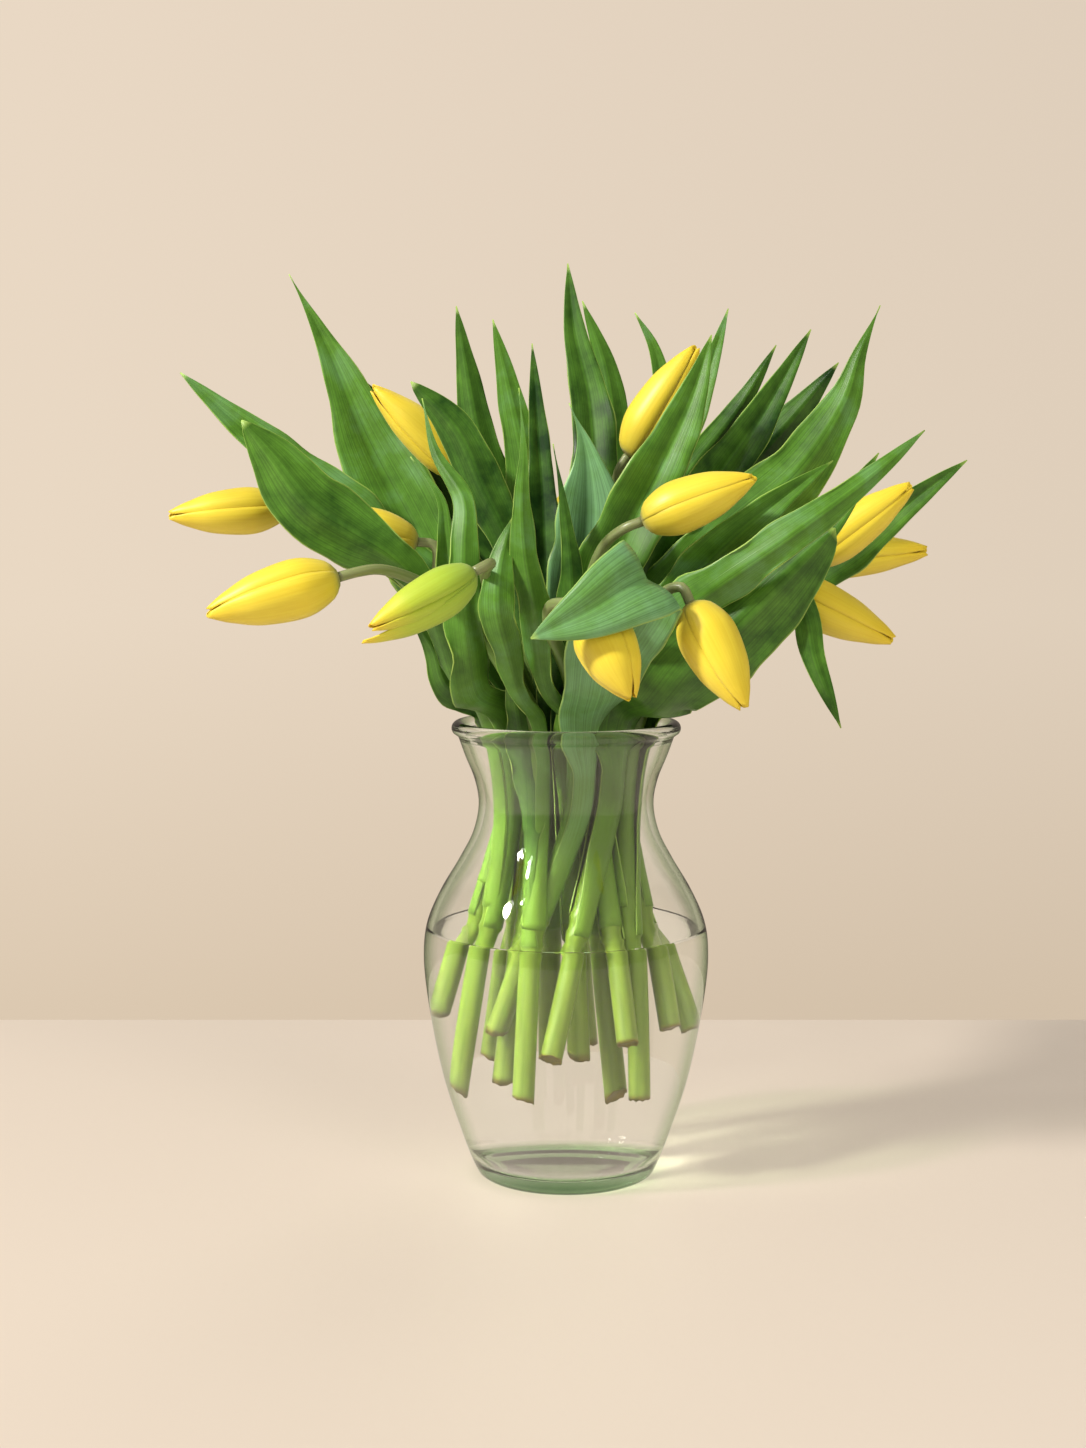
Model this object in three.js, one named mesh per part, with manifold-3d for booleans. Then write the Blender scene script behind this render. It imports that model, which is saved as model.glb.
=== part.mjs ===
import * as THREE from "three";
import { mergeVertices } from "three/addons/utils/BufferGeometryUtils.js";
import Module from "manifold-3d";

// A bouquet of fifteen yellow tulips in a clear glass vase. Millimetres, +Z up.
// The origin is the middle of the flat ring that the vase stands on, and the front faces -Y.

// The vase: a flared glass vase 203 mm (8 in) tall, turned about Z.
const VASE_SIDES = 26;
const WALL = 3;
const FLOOR_THICKNESS = 7;
const FLOOR_FILLET = 3;
const FOOT_RADIUS = 36;
const BEAD_RADIUS = 3.1;
const BEAD_CENTRE = { radius: 47.4, height: 199.9 };
const BEAD_STEPS = 4;
// The bead's section runs from this angle, over its top, through this many degrees.
const BEAD_ARC = { from: -40, sweep: 220 };
const OUTLINE_STEPS = 14;
// Outer radius and height, from the rounded heel up to the underside of the rim bead.
const OUTLINE = [
  [39.6, 1.5], [42.2, 7], [47.6, 21.8], [54.6, 43.8], [60.5, 73], [63.2, 98], [61.7, 113],
  [55.7, 127.3], [47.2, 141.7], [41, 154], [38.6, 166.7], [40.4, 177.4], [44.6, 188], [47.6, 196.4],
];
const WATER_LEVEL = 111.5;

// Everything that touches keeps this gap, in air and in water alike.
const GAP = 0.3;
const CLEARANCE = 0.35;

// The stems stand almost straight in the vase. They are drawn together at its neck, and from there
// to the mouth their places spread again by MOUTH_SPREAD.
const NECK_HEIGHT = 167;
const MOUTH_HEIGHT = 205;
const MOUTH_SPREAD = 1.2;
const STEM_SIDES = 6;
const STEM_RADII = { foot: 4.8, neck: 4.2, bloom: 2.1 };
// The part of its length over which a stem thins out to its bloom.
const STEM_THINS = [0.5, 1];
const STEM_MIDDLE = 0.5;
const STEM_SAMPLES = 60;
const STEM_TURN = 14;
const COLLAR = 8;

// A leaf leaves its stem as a half pipe round it, opens above the mouth and ends in a point.
const LEAF_STEPS = 9;
const LEAF_OPENS = 0;
const LEAF_WIDEST = 0.55;
const LEAF_TAPER = 0.95;
const LEAF_FLARE = 0.3;
const LEAF_LOW_WIDTH = 0.4;
const LEAF_COLUMNS = 3;
const LEAF_THICKNESS = 0.9;
const LEAF_TIP_WIDTH = 1.2;
const LEAF_KEEL = 0.24;
const SHEATH_OFFSETS = { root: 2, middle: 5.5, neck: 6, mouth: 8 };
const ROOT_WIDTH = 4;
const SHEATH_WIDTH = 13;
const FLARE_FROM = 185;
const SHEATH_CURL = 100;
const BLADE_CURL = 84;
const WAVE_HEIGHT = 1.6;
const WAVES = 2.5;
// The parts of its length over which a leaf turns broadside on, rolls open, and starts to wave.
const LEAF_TURNS = [0.3, 0.75];
const LEAF_UNROLLS = [0.2, 0.6];
const LEAF_WAVES = [0.35, 0.6];
const LEAF_MIDDLE = 0.5;

// A closed bud: three outer petals lie over three inner ones, whose own tips end lower.
const PETALS = 3;
const PETAL_STEP = 1.1;
const PETAL_EDGE = 2;
const PETAL_GROOVE = 0.6;
const PETAL_DEPTH = 0.5;
const OUTER_PETAL_REACH = [1, 0.98, 0.96];
const INNER_PETAL_REACH = 0.93;
const BUD_MIDDLE = 0.5;
// Along the bud from its base to its tip: its radius as a part of the full radius, and half the
// angle that an outer petal spans.
const BUD_STATIONS = [
  { along: 0, radius: 0.26, half: 57 },
  { along: 0.08, radius: 0.68, half: 57 },
  { along: 0.3, radius: 1, half: 55 },
  { along: 0.6, radius: 0.88, half: 48 },
  { along: 0.85, radius: 0.5, half: 36 },
  { along: 1, radius: 0.17, half: 20 },
];

const GLASS = { colour: "#dfe9df", roughness: 0.05 };
const CLEAR_WATER = { colour: "#e6f2ea", roughness: 0.02 };
const LEAF_SKIN = { colour: "#3f7f35", roughness: 0.45 };
const PETAL_SKIN = { colour: "#f5d21f", roughness: 0.5 };

// Points closer than this are one point.
const MERGE_TOLERANCE = 1e-4;

// Each stem is listed with its cut foot, the place where it passes the neck, the points that it runs
// through above the mouth, its bloom and its leaves. A leaf grows at the height "node" on the side
// of the stem that "side" gives, in degrees from +X, and runs through "via" to its tip. It starts to
// open at the part "opens" of its length and is widest at the part "widest". "across" is the
// direction of the blade's width near the tip, where it isn't broadside on.
const TULIPS = [
  {
    name: "tulip_01", foot: [-44, -12, 42], neck: [-25, -8.5],
    stem: [[-46, -17, 230], [-62, -16, 257], [-92, -17, 283], [-108, -21, 292]],
    bloom: { base: [-120, -24, 296], tip: [-168, -34, 293], radius: 9.8 },
    leaves: [
      { name: "left_low", node: 122, side: 205, width: 33, opens: 0.6, widest: 0.8, taper: 0.9,
        roll: 10, steps: 12,
        via: [[-49, -30, 224], [-54, -40, 242], [-61, -50, 263], [-73, -57, 277], [-89, -60, 287],
            [-105, -62, 298], [-121, -61, 318]],
        tip: [-133, -60, 332] },
      { name: "twisted", node: 112, side: 315, width: 19, widest: 0.5, taper: 1.3, flare: 0.6, steps: 12,
        via: [[-38, -44, 218], [-41, -53, 237], [-43, -55, 258], [-43, -53, 280], [-43, -48, 299],
            [-55, -38, 319]],
        tip: [-61, -30, 342] },
    ],
  },
  {
    name: "tulip_02", foot: [-50, 4, 73], neck: [-25, 8.2],
    stem: [[-51, 14, 246], [-57, 14, 262]],
    bloom: { base: [-66, 13, 281], tip: [-126, 6, 293], radius: 11 },
    leaves: [
      { name: "left_high", node: 116, side: 165, width: 30, roll: 20,
        via: [[-54, 26, 246], [-80, 32, 275], [-113, 32, 306], [-146, 30, 333]],
        tip: [-172, 28, 356] },
      { name: "rim_left", node: 130, side: 250, width: 18, flare: 0.6, steps: 7,
        via: [[-53, -4, 219], [-58, -6, 234]],
        tip: [-67, -8, 248] },
      { name: "tall_left", node: 104, side: 50, width: 41, widest: 0.62, taper: 1.7,
        via: [[-50, 34, 254], [-70, 44, 290], [-90, 50, 327], [-107, 49, 367]],
        tip: [-125, 46, 401] },
    ],
  },
  {
    name: "tulip_03", foot: [-18, -40, 44], neck: [-11.5, -25],
    stem: [[-22, -35, 222], [-35, -38, 242], [-49, -47, 257], [-62, -66, 267], [-76, -80, 272]],
    bloom: { base: [-92, -86, 269], tip: [-143, -98, 255], radius: 12 },
    leaves: [
      { name: "front_left", node: 116, side: 285, width: 16, opens: 0.5, widest: 0.78, taper: 1, flare: 0.1,
        via: [[-19, -46, 216], [-25, -56, 237], [-29, -64, 256], [-28, -62, 272]],
        tip: [-23, -54, 292] },
      { name: "rim_front", node: 106, side: 215, width: 14, flare: 0.1, steps: 7,
        via: [[-22, -43, 217]],
        tip: [-24, -52, 236] },
    ],
  },
  {
    name: "tulip_04", foot: [-6, 6, 52], neck: [-7.3, 10],
    stem: [[-20, 18, 237], [-27, 26, 273], [-34, 31, 294]],
    bloom: { base: [-43, 32, 310], tip: [-87, 28, 350], radius: 10 },
    leaves: [
      { name: "upper_left_under", node: 112, side: 160, width: 24,
        via: [[-21, 32, 254], [-39, 46, 290], [-67, 56, 322]],
        tip: [-101, 60, 361] },
      { name: "upper_left_over", node: 104, side: 275, width: 21, opens: 0.55, widest: 0.8, taper: 0.8,
        via: [[-20, 4, 256], [-27, 2, 285], [-36, 2, 304], [-48, 4, 330]],
        tip: [-68, 8, 351] },
      { name: "centre_left_back", node: 120, side: 40, width: 16,
        via: [[-8, 10, 256], [-10, 12, 298], [-12, 14, 325]],
        tip: [-15, 16, 368] },
    ],
  },
  {
    name: "tulip_05", foot: [-25, -10, 46], neck: [-12, -4],
    stem: [[-24, -18, 235], [-31, -38, 258], [-34, -62, 270]],
    bloom: { base: [-38, -84, 271], tip: [-78, -104, 250], radius: 8.6 },
    leaves: [
      { name: "centre_right", node: 112, side: 325, width: 17, widest: 0.5, taper: 1.6,
        via: [[-3, -23, 226], [0, -33, 246], [2, -37, 262], [-1, -38, 294]],
        tip: [-6, -36, 323] },
      { name: "left_inner", node: 120, side: 155, width: 17, widest: 0.5, taper: 1.5,
        via: [[-37, -4, 236], [-50, -12, 262], [-52, -17, 284], [-54, -18, 300]],
        tip: [-67, -14, 318] },
    ],
  },
  {
    name: "tulip_06", foot: [-28, -18, 70], neck: [4, -26.5],
    stem: [[1, -42, 226], [-7, -56, 246], [-7, -72, 257], [0, -82, 259]],
    bloom: { base: [9, -88, 255], tip: [25, -102, 221], radius: 12.2 },
    leaves: [
      { name: "folded", node: 118, side: 315, width: 38, widest: 0.7, flare: 1.1, curl: 25, steps: 18,
        across: [0.65, 0, -0.76],
        via: [[14, -54, 219], [18, -68, 240], [27, -86, 260], [30, -96, 268], [23, -104, 266],
            [8, -109, 257]],
        tip: [-15, -108, 246] },
      { name: "front_centre", node: 108, side: 235, width: 15, opens: 0.42, widest: 0.62, taper: 1.9,
        flare: 0.1,
        via: [[-9, -46, 220], [-14, -56, 254], [-18, -62, 279], [-19, -64, 300], [-18, -64, 319]],
        tip: [-20, -60, 345] },
    ],
  },
  {
    name: "tulip_07", foot: [-6.5, -40.5, 62], neck: [16.5, -20],
    stem: [[28, -46, 233], [33, -62, 252], [38, -73, 262]],
    bloom: { base: [49, -82, 258], tip: [70, -98, 217], radius: 12 },
    leaves: [
      { name: "broad_right", node: 112, side: 330, width: 45, widest: 0.66, taper: 0.6, flare: 1,
        sheath: 22,
        via: [[37, -45, 211], [52, -52, 229], [69, -57, 247], [86, -58, 264]],
        tip: [110, -56, 288] },
      { name: "right_inner", node: 120, side: 110, width: 23, widest: 0.62, taper: 1.1,
        via: [[20, -23, 228], [37, -30, 247], [52, -38, 266], [68, -42, 283], [90, -42, 301]],
        tip: [111, -38, 316] },
    ],
  },
  {
    name: "tulip_08", foot: [5, -22, 60], neck: [1.5, -11],
    stem: [[6, -22, 235], [9, -30, 262], [15, -42, 280]],
    bloom: { base: [31, -55, 291], tip: [77, -62, 309], radius: 11 },
    leaves: [
      { name: "beside_bud", node: 122, side: 20, width: 32,
        via: [[14, -22, 248], [24, -29, 283], [40, -31, 316], [53, -26, 344]],
        tip: [61, -22, 369] },
      { name: "curled", node: 104, side: 125, width: 35, opens: 0.4, widest: 0.77, taper: 2.3,
        via: [[3, -7, 252], [10, -7, 283], [10, -7, 308], [7, -8, 326]],
        tip: [1, -10, 341] },
      { name: "right_long", node: 116, side: 275, width: 21,
        via: [[30, -37, 237], [57, -60, 261], [90, -70, 285], [123, -64, 309]],
        tip: [146, -56, 328] },
    ],
  },
  {
    name: "tulip_09", foot: [25, -38, 68], neck: [12, -4],
    stem: [[15, -2, 240], [18, 1, 270], [21, 2, 298]],
    bloom: { base: [27, -1, 319], tip: [56, -8, 366], radius: 10.8 },
    leaves: [
      { name: "tall_right", node: 116, side: 300, width: 32, opens: 0.3, widest: 0.68, taper: 1.6,
        via: [[38, -4, 250], [68, -2, 283], [101, 0, 312], [121, 5, 342], [128, 8, 363]],
        tip: [137, 10, 384] },
      { name: "behind_bud", node: 106, side: 90, width: 22,
        via: [[20, 12, 262], [43, 20, 308], [62, 24, 353]],
        tip: [72, 26, 384] },
    ],
  },
  {
    name: "tulip_10", foot: [42, -15, 70], neck: [25.2, 8.2],
    stem: [[45, 6, 224], [67, 2, 242], [87, -3, 254]],
    bloom: { base: [105, -6, 273], tip: [149, -10, 306], radius: 9.8 },
    leaves: [
      { name: "right_low_back", node: 120, side: 10, width: 26,
        via: [[59, 14, 234], [99, 13, 261], [130, 14, 281], [155, 14, 301]],
        tip: [177, 14, 317] },
      { name: "upper_right", node: 108, side: 130, width: 28,
        via: [[41, 5, 262], [61, 13, 300], [88, 22, 339]],
        tip: [109, 28, 375] },
    ],
  },
  {
    name: "tulip_11", foot: [50, 0, 66], neck: [16, 22],
    stem: [[40, 31, 230], [63, 34, 252], [84, 34, 266]],
    bloom: { base: [104, 32, 273], tip: [163, 28, 277], radius: 10 },
    leaves: [
      { name: "right_behind", node: 118, side: 340, width: 34,
        via: [[42, 33, 250], [70, 46, 299], [101, 52, 333]],
        tip: [125, 54, 362] },
      { name: "back_right", node: 106, side: 90, width: 36, steps: 7,
        via: [[44, 46, 226], [74, 70, 246]],
        tip: [114, 108, 262] },
    ],
  },
  {
    name: "tulip_12", foot: [30, -29, 42], neck: [26, -8.5],
    stem: [[44, -18, 225], [60, -24, 246], [74, -28, 259]],
    bloom: { base: [88, -30, 264], tip: [139, -32, 240], radius: 10.5 },
    leaves: [
      { name: "right_second", node: 110, side: 20, width: 24,
        via: [[50, -28, 232], [78, -46, 264], [105, -50, 287]],
        tip: [129, -45, 319] },
      { name: "drooping_tip", node: 122, side: 180, width: 12, widest: 0.82, taper: 1.1,
        via: [[46, -21, 232], [73, -38, 262], [90, -44, 265], [99, -47, 253], [103, -49, 234]],
        tip: [114, -52, 205] },
    ],
  },
  {
    name: "tulip_13", foot: [-28, 24, 50], neck: [-16, 22],
    stem: [[-26, 44, 228], [-34, 66, 254]],
    bloom: { base: [-38, 88, 268], tip: [-46, 144, 262], radius: 11 },
    leaves: [
      { name: "back_left", node: 112, side: 140, width: 38, steps: 7,
        via: [[-42, 50, 232], [-62, 84, 276]],
        tip: [-92, 132, 322] },
      { name: "tall_back_left", node: 104, side: 350, width: 26,
        via: [[-24, 42, 254], [-34, 54, 299], [-43, 59, 345]],
        tip: [-50, 60, 388] },
    ],
  },
  {
    name: "tulip_14", foot: [8, 32, 56], neck: [0, 26.8],
    stem: [[2, 46, 236], [4, 70, 270]],
    bloom: { base: [5, 94, 292], tip: [8, 150, 296], radius: 11.5 },
    leaves: [
      { name: "back_centre", node: 112, side: 60, width: 38, steps: 7,
        via: [[16, 54, 236], [26, 92, 284]],
        tip: [36, 150, 334] },
      { name: "behind_centre", node: 104, side: 300, width: 26,
        via: [[14, 42, 254], [23, 58, 309], [19, 65, 359]],
        tip: [8, 68, 391] },
      { name: "back_inner", node: 120, side: 190, width: 24,
        via: [[-10, 38, 254], [-18, 44, 313], [-26, 46, 351]],
        tip: [-33, 48, 381] },
    ],
  },
  {
    name: "tulip_15", foot: [20, -13, 40], neck: [7.3, 10],
    stem: [[20, 34, 238], [36, 52, 262]],
    bloom: { base: [54, 66, 286], tip: [92, 104, 300], radius: 11 },
    leaves: [
      { name: "tall_centre", node: 112, side: 165, width: 26,
        via: [[9, 22, 255], [13, 33, 300], [11, 42, 345], [4, 46, 376]],
        tip: [1, 48, 406] },
      { name: "behind_bud_left", node: 120, side: 60, width: 18,
        via: [[23, 25, 246], [32, 31, 275], [41, 36, 310], [44, 38, 344], [40, 38, 367]],
        tip: [31, 36, 383] },
      { name: "upper_right_back", node: 104, side: 320, width: 22,
        via: [[27, 17, 262], [53, 28, 308], [79, 38, 342]],
        tip: [95, 41, 369] },
    ],
  },
];

// ---- Solids and geometries

const wasm = await Module();
wasm.setup();

function solidFrom(geometry) {
  geometry.deleteAttribute("normal");
  geometry.deleteAttribute("uv");
  const merged = mergeVertices(geometry, MERGE_TOLERANCE);
  return new wasm.Manifold(new wasm.Mesh({
    numProp: 3,
    vertProperties: merged.getAttribute("position").array,
    triVerts: new Uint32Array(merged.index.array),
  }));
}

function geometryFrom(solid) {
  const mesh = solid.getMesh();
  const geometry = new THREE.BufferGeometry();
  geometry.setAttribute("position", new THREE.BufferAttribute(mesh.vertProperties, 3));
  geometry.setIndex(new THREE.BufferAttribute(mesh.triVerts, 1));
  return geometry.toNonIndexed();
}

const FORWARD = new THREE.Vector3(0, 1, 0);
const vector = ([x, y, z]) => new THREE.Vector3(x, y, z);

function polar(radius, degrees, height) {
  const angle = THREE.MathUtils.degToRad(degrees);
  return new THREE.Vector3(radius * Math.cos(angle), radius * Math.sin(angle), height);
}

// Joins rings of points, each with the same even number, into one closed body. Columns that face
// each other across the ring take the same diagonal, so the two faces of a thin blade never cross.
// Its ends are closed across the ring, or with a fan round their middle where the ring is a round one.
function loft(rings, round) {
  const count = rings[0].length;
  const half = count / 2;
  const positions = rings.flat().flatMap((point) => [point.x, point.y, point.z]);
  const index = [];
  for (let row = 0; row + 1 < rings.length; row += 1) {
    for (let column = 0; column < count; column += 1) {
      const next = (column + 1) % count;
      const [a, b] = [row * count + column, row * count + next];
      const [c, d] = [a + count, b + count];
      index.push(...(column < half ? [a, b, d, a, d, c] : [a, b, c, b, d, c]));
    }
  }
  const last = (rings.length - 1) * count;
  if (round) {
    for (const ring of [rings[0], rings.at(-1)]) {
      const middle = ring.reduce((sum, point) => sum.add(point), new THREE.Vector3()).divideScalar(count);
      positions.push(middle.x, middle.y, middle.z);
    }
    for (let column = 0; column < count; column += 1) {
      const next = (column + 1) % count;
      index.push(column, last + count, next, last + column, last + next, last + count + 1);
    }
  } else {
    for (let column = 0; column + 1 < half; column += 1) {
      const [a, b, c, d] = [column, column + 1, count - 2 - column, count - 1 - column];
      index.push(a, c, b, a, d, c);
      index.push(last + a, last + b, last + c, last + a, last + c, last + d);
    }
  }
  const geometry = new THREE.BufferGeometry();
  geometry.setAttribute("position", new THREE.Float32BufferAttribute(positions, 3));
  geometry.setIndex(index);
  const solid = solidFrom(geometry);
  if (solid.volume() > 0) return solid;
  geometry.setIndex(index.toReversed());
  return solidFrom(geometry);
}

// ---- Vase and water

const outline = new THREE.SplineCurve(OUTLINE.map(([radius, height]) => new THREE.Vector2(radius, height)))
  .getPoints(OUTLINE_STEPS);

function turned(profile) {
  const geometry = new THREE.LatheGeometry(profile, VASE_SIDES);
  geometry.rotateX(Math.PI / 2);
  const solid = solidFrom(geometry);
  if (solid.volume() > 0) return solid;
  return solidFrom(new THREE.LatheGeometry(profile.toReversed(), VASE_SIDES).rotateX(Math.PI / 2));
}

// The inside of the vase, up from its floor, drawn in by the given clearance.
function insideProfile(clearance, top) {
  const bottom = FLOOR_THICKNESS + clearance;
  const wall = outline
    .filter((point) => point.y > bottom + FLOOR_FILLET && point.y < top)
    .map((point) => new THREE.Vector2(point.x - WALL - clearance, point.y));
  const corner = new THREE.Vector2(wall[0].x - FLOOR_FILLET, bottom);
  return [new THREE.Vector2(0, bottom), corner, ...wall];
}

function vaseSolid() {
  const bead = [];
  for (let step = 0; step <= BEAD_STEPS; step += 1) {
    const angle = THREE.MathUtils.degToRad(BEAD_ARC.from + (BEAD_ARC.sweep * step) / BEAD_STEPS);
    bead.push(new THREE.Vector2(
      BEAD_CENTRE.radius + BEAD_RADIUS * Math.cos(angle),
      BEAD_CENTRE.height + BEAD_RADIUS * Math.sin(angle),
    ));
  }
  const outside = [new THREE.Vector2(0, 0), new THREE.Vector2(FOOT_RADIUS, 0), ...outline];
  const inside = insideProfile(0, BEAD_CENTRE.height - BEAD_RADIUS).toReversed();
  return turned([...outside, ...bead, ...inside]);
}

function waterSolid() {
  const above = outline.findIndex((point) => point.y > WATER_LEVEL);
  const [low, high] = [outline[above - 1], outline[above]];
  const edge = low.clone().lerp(high, (WATER_LEVEL - low.y) / (high.y - low.y));
  edge.x -= WALL + GAP;
  return turned([...insideProfile(GAP, WATER_LEVEL), edge, new THREE.Vector2(0, WATER_LEVEL)]);
}

// ---- Stems

function budAxis(tulip) {
  return vector(tulip.bloom.tip).sub(vector(tulip.bloom.base)).normalize();
}

function stemCurve(tulip) {
  const foot = vector(tulip.foot);
  const [x, y] = tulip.neck;
  const neck = vector([x, y, NECK_HEIGHT]);
  const axis = budAxis(tulip);
  const base = vector(tulip.bloom.base);
  return new THREE.CatmullRomCurve3([
    foot,
    foot.clone().lerp(neck, STEM_MIDDLE),
    neck,
    vector([MOUTH_SPREAD * x, MOUTH_SPREAD * y, MOUTH_HEIGHT]),
    ...tulip.stem.map(vector),
    base.clone().addScaledVector(axis, -COLLAR),
    base.clone().addScaledVector(axis, -GAP),
  ]);
}

// Keeps the samples of a curve where it has turned by STEM_TURN degrees since the last one kept.
function samplesAlong(curve) {
  const kept = [0];
  const turn = THREE.MathUtils.degToRad(STEM_TURN);
  for (let sample = 1; sample < STEM_SAMPLES; sample += 1) {
    const before = curve.getTangentAt(kept.at(-1));
    const ahead = curve.getTangentAt((sample + 1) / STEM_SAMPLES);
    if (before.angleTo(ahead) > turn) kept.push(sample / STEM_SAMPLES);
  }
  return [...kept, 1];
}

function stemRadius(height, along) {
  if (height < NECK_HEIGHT) {
    const rise = height / NECK_HEIGHT;
    return THREE.MathUtils.lerp(STEM_RADII.foot, STEM_RADII.neck, rise);
  }
  const thinned = THREE.MathUtils.smoothstep(along, ...STEM_THINS);
  return THREE.MathUtils.lerp(STEM_RADII.neck, STEM_RADII.bloom, thinned);
}

function stemSolid(curve, grow) {
  let side = new THREE.Vector3(1, 0, 0);
  const rings = samplesAlong(curve).map((along) => {
    const tangent = curve.getTangentAt(along);
    const centre = curve.getPointAt(along);
    const end = (along === 0 ? -1 : 0) + (along === 1 ? 1 : 0);
    centre.addScaledVector(tangent, end * grow);
    const other = tangent.clone().cross(side).normalize();
    side = other.clone().cross(tangent).normalize();
    const radius = stemRadius(centre.z, along) + grow;
    return Array.from({ length: STEM_SIDES }, (_, corner) => {
      const angle = (2 * Math.PI * corner) / STEM_SIDES;
      return centre.clone()
        .addScaledVector(side, radius * Math.cos(angle))
        .addScaledVector(other, radius * Math.sin(angle));
    });
  });
  return loft(rings, true);
}

function pointAtHeight(curve, height) {
  const points = curve.getSpacedPoints(STEM_SAMPLES);
  const above = points.findIndex((point) => point.z >= height);
  const [low, high] = [points[above - 1], points[above]];
  return low.clone().lerp(high, (height - low.z) / (high.z - low.z));
}

// ---- Leaves

function leafCurve(leaf, stem) {
  const side = polar(1, leaf.side, 0);
  const beside = (height, offset) => pointAtHeight(stem, height).addScaledVector(side, offset);
  return new THREE.CatmullRomCurve3([
    beside(leaf.node, SHEATH_OFFSETS.root),
    beside((leaf.node + NECK_HEIGHT) / 2, SHEATH_OFFSETS.middle),
    beside(NECK_HEIGHT, SHEATH_OFFSETS.neck),
    beside(MOUTH_HEIGHT, SHEATH_OFFSETS.mouth),
    ...leaf.via.map(vector),
    vector(leaf.tip),
  ]);
}

// The width rises to its most at "widest", as a part of the length, and then runs out to a point.
// Among the stems in the neck a leaf is held in, and it opens with the height above.
function leafWidth(leaf, along, height) {
  const opens = leaf.opens ?? LEAF_OPENS;
  const widest = leaf.widest ?? LEAF_WIDEST;
  const taper = leaf.taper ?? LEAF_TAPER;
  const past = Math.max(along - widest, 0) / (1 - widest);
  const shape = along < widest
    ? THREE.MathUtils.lerp(LEAF_LOW_WIDTH, 1, THREE.MathUtils.smoothstep(along, opens, widest))
    : (1 - past) ** taper * (1 + taper * past);
  const rise = Math.min((height - leaf.node) / (NECK_HEIGHT - leaf.node), 1);
  const sheath = THREE.MathUtils.lerp(ROOT_WIDTH, leaf.sheath ?? SHEATH_WIDTH, rise);
  const room = sheath + (leaf.flare ?? LEAF_FLARE) * Math.max(height - FLARE_FROM, 0);
  return Math.max(Math.min(leaf.width * shape, room), LEAF_TIP_WIDTH);
}

// Gives the directions of a blade's width, one after another: along the sheath at first, then
// turning evenly round the blade to lie broadside on, or along "across" where the leaf gives it.
// Which of its two edges leads is settled once, half way along.
function widthTurner(leaf, middleTangent) {
  const sides = (tangent) => {
    const flat = (direction) => direction.addScaledVector(tangent, -direction.dot(tangent)).normalize();
    const target = flat(leaf.across ? vector(leaf.across) : tangent.clone().cross(FORWARD));
    target.applyAxisAngle(tangent, THREE.MathUtils.degToRad(leaf.roll ?? 0));
    return [flat(polar(1, leaf.side + 90, 0)), target];
  };
  const [middleStart, middleTarget] = sides(middleTangent);
  const way = middleTarget.dot(middleStart) > 0 ? 1 : -1;
  const full = 2 * Math.PI;
  let turned;
  return (along, tangent) => {
    const [start, target] = sides(tangent);
    target.multiplyScalar(way);
    const angle = Math.atan2(tangent.dot(start.clone().cross(target)), start.dot(target));
    turned = angle + full * Math.round(((turned ?? angle) - angle) / full);
    return start.applyAxisAngle(tangent, turned * THREE.MathUtils.smoothstep(along, ...LEAF_TURNS));
  };
}

function leafSolid(leaf, stem, grow) {
  const curve = leafCurve(leaf, stem);
  const rings = [];
  const steps = leaf.steps ?? LEAF_STEPS;
  const acrossAt = widthTurner(leaf, curve.getTangentAt(LEAF_MIDDLE));
  for (let step = 0; step <= steps; step += 1) {
    const along = step / steps;
    const tangent = curve.getTangentAt(along);
    const centre = curve.getPointAt(along);
    const across = acrossAt(along, tangent);
    const inward = tangent.clone().cross(across);
    const unrolled = THREE.MathUtils.smoothstep(along, ...LEAF_UNROLLS);
    const curl = THREE.MathUtils.lerp(SHEATH_CURL, leaf.curl ?? BLADE_CURL, unrolled);
    const spread = THREE.MathUtils.degToRad(curl) / 2;
    const width = leafWidth(leaf, along, centre.z);
    const bend = width / (2 * spread);
    const ruffle = WAVE_HEIGHT * THREE.MathUtils.smoothstep(along, ...LEAF_WAVES) * (1 - along);
    const keel = LEAF_KEEL * width * THREE.MathUtils.smoothstep(along, ...LEAF_TURNS);
    const half = LEAF_THICKNESS / 2 + grow;
    const upper = [];
    const lower = [];
    for (let column = 0; column <= LEAF_COLUMNS; column += 1) {
      const place = (2 * column) / LEAF_COLUMNS - 1;
      const turn = place * (spread + grow / bend);
      const wave = ruffle * place * Math.sin(2 * Math.PI * WAVES * along + leaf.node + place)
        + keel * (Math.abs(place) - place * place);
      const point = centre.clone()
        .addScaledVector(across, bend * Math.sin(turn))
        .addScaledVector(inward, bend * (1 - Math.cos(turn)) + wave);
      const normal = inward.clone().multiplyScalar(Math.cos(turn)).addScaledVector(across, -Math.sin(turn));
      upper.push(point.clone().addScaledVector(normal, half));
      lower.unshift(point.clone().addScaledVector(normal, -half));
    }
    rings.push([...upper, ...lower]);
  }
  return loft(rings, false);
}

// ---- Blooms

// Round the bud, the columns of one outer petal and of the inner one beside it: the angle as a part
// of the outer petal's half width or in degrees, how far in it lies and how far up the bud it ends.
function budColumns(half) {
  const columns = [];
  for (let petal = 0; petal < PETALS; petal += 1) {
    const middle = (360 * petal) / PETALS;
    const reach = OUTER_PETAL_REACH[petal];
    columns.push(
      { angle: middle - half - PETAL_EDGE, inset: PETAL_STEP, reach: INNER_PETAL_REACH },
      { angle: middle - half, inset: 0, reach },
      { angle: middle - half / 2, inset: 0, reach },
      { angle: middle, inset: PETAL_GROOVE, reach },
      { angle: middle + half / 2, inset: 0, reach },
      { angle: middle + half, inset: 0, reach },
      { angle: middle + half + PETAL_EDGE, inset: PETAL_STEP, reach: INNER_PETAL_REACH },
      { angle: middle + 180 / PETALS, inset: PETAL_STEP, reach: INNER_PETAL_REACH },
    );
  }
  return columns;
}

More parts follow.
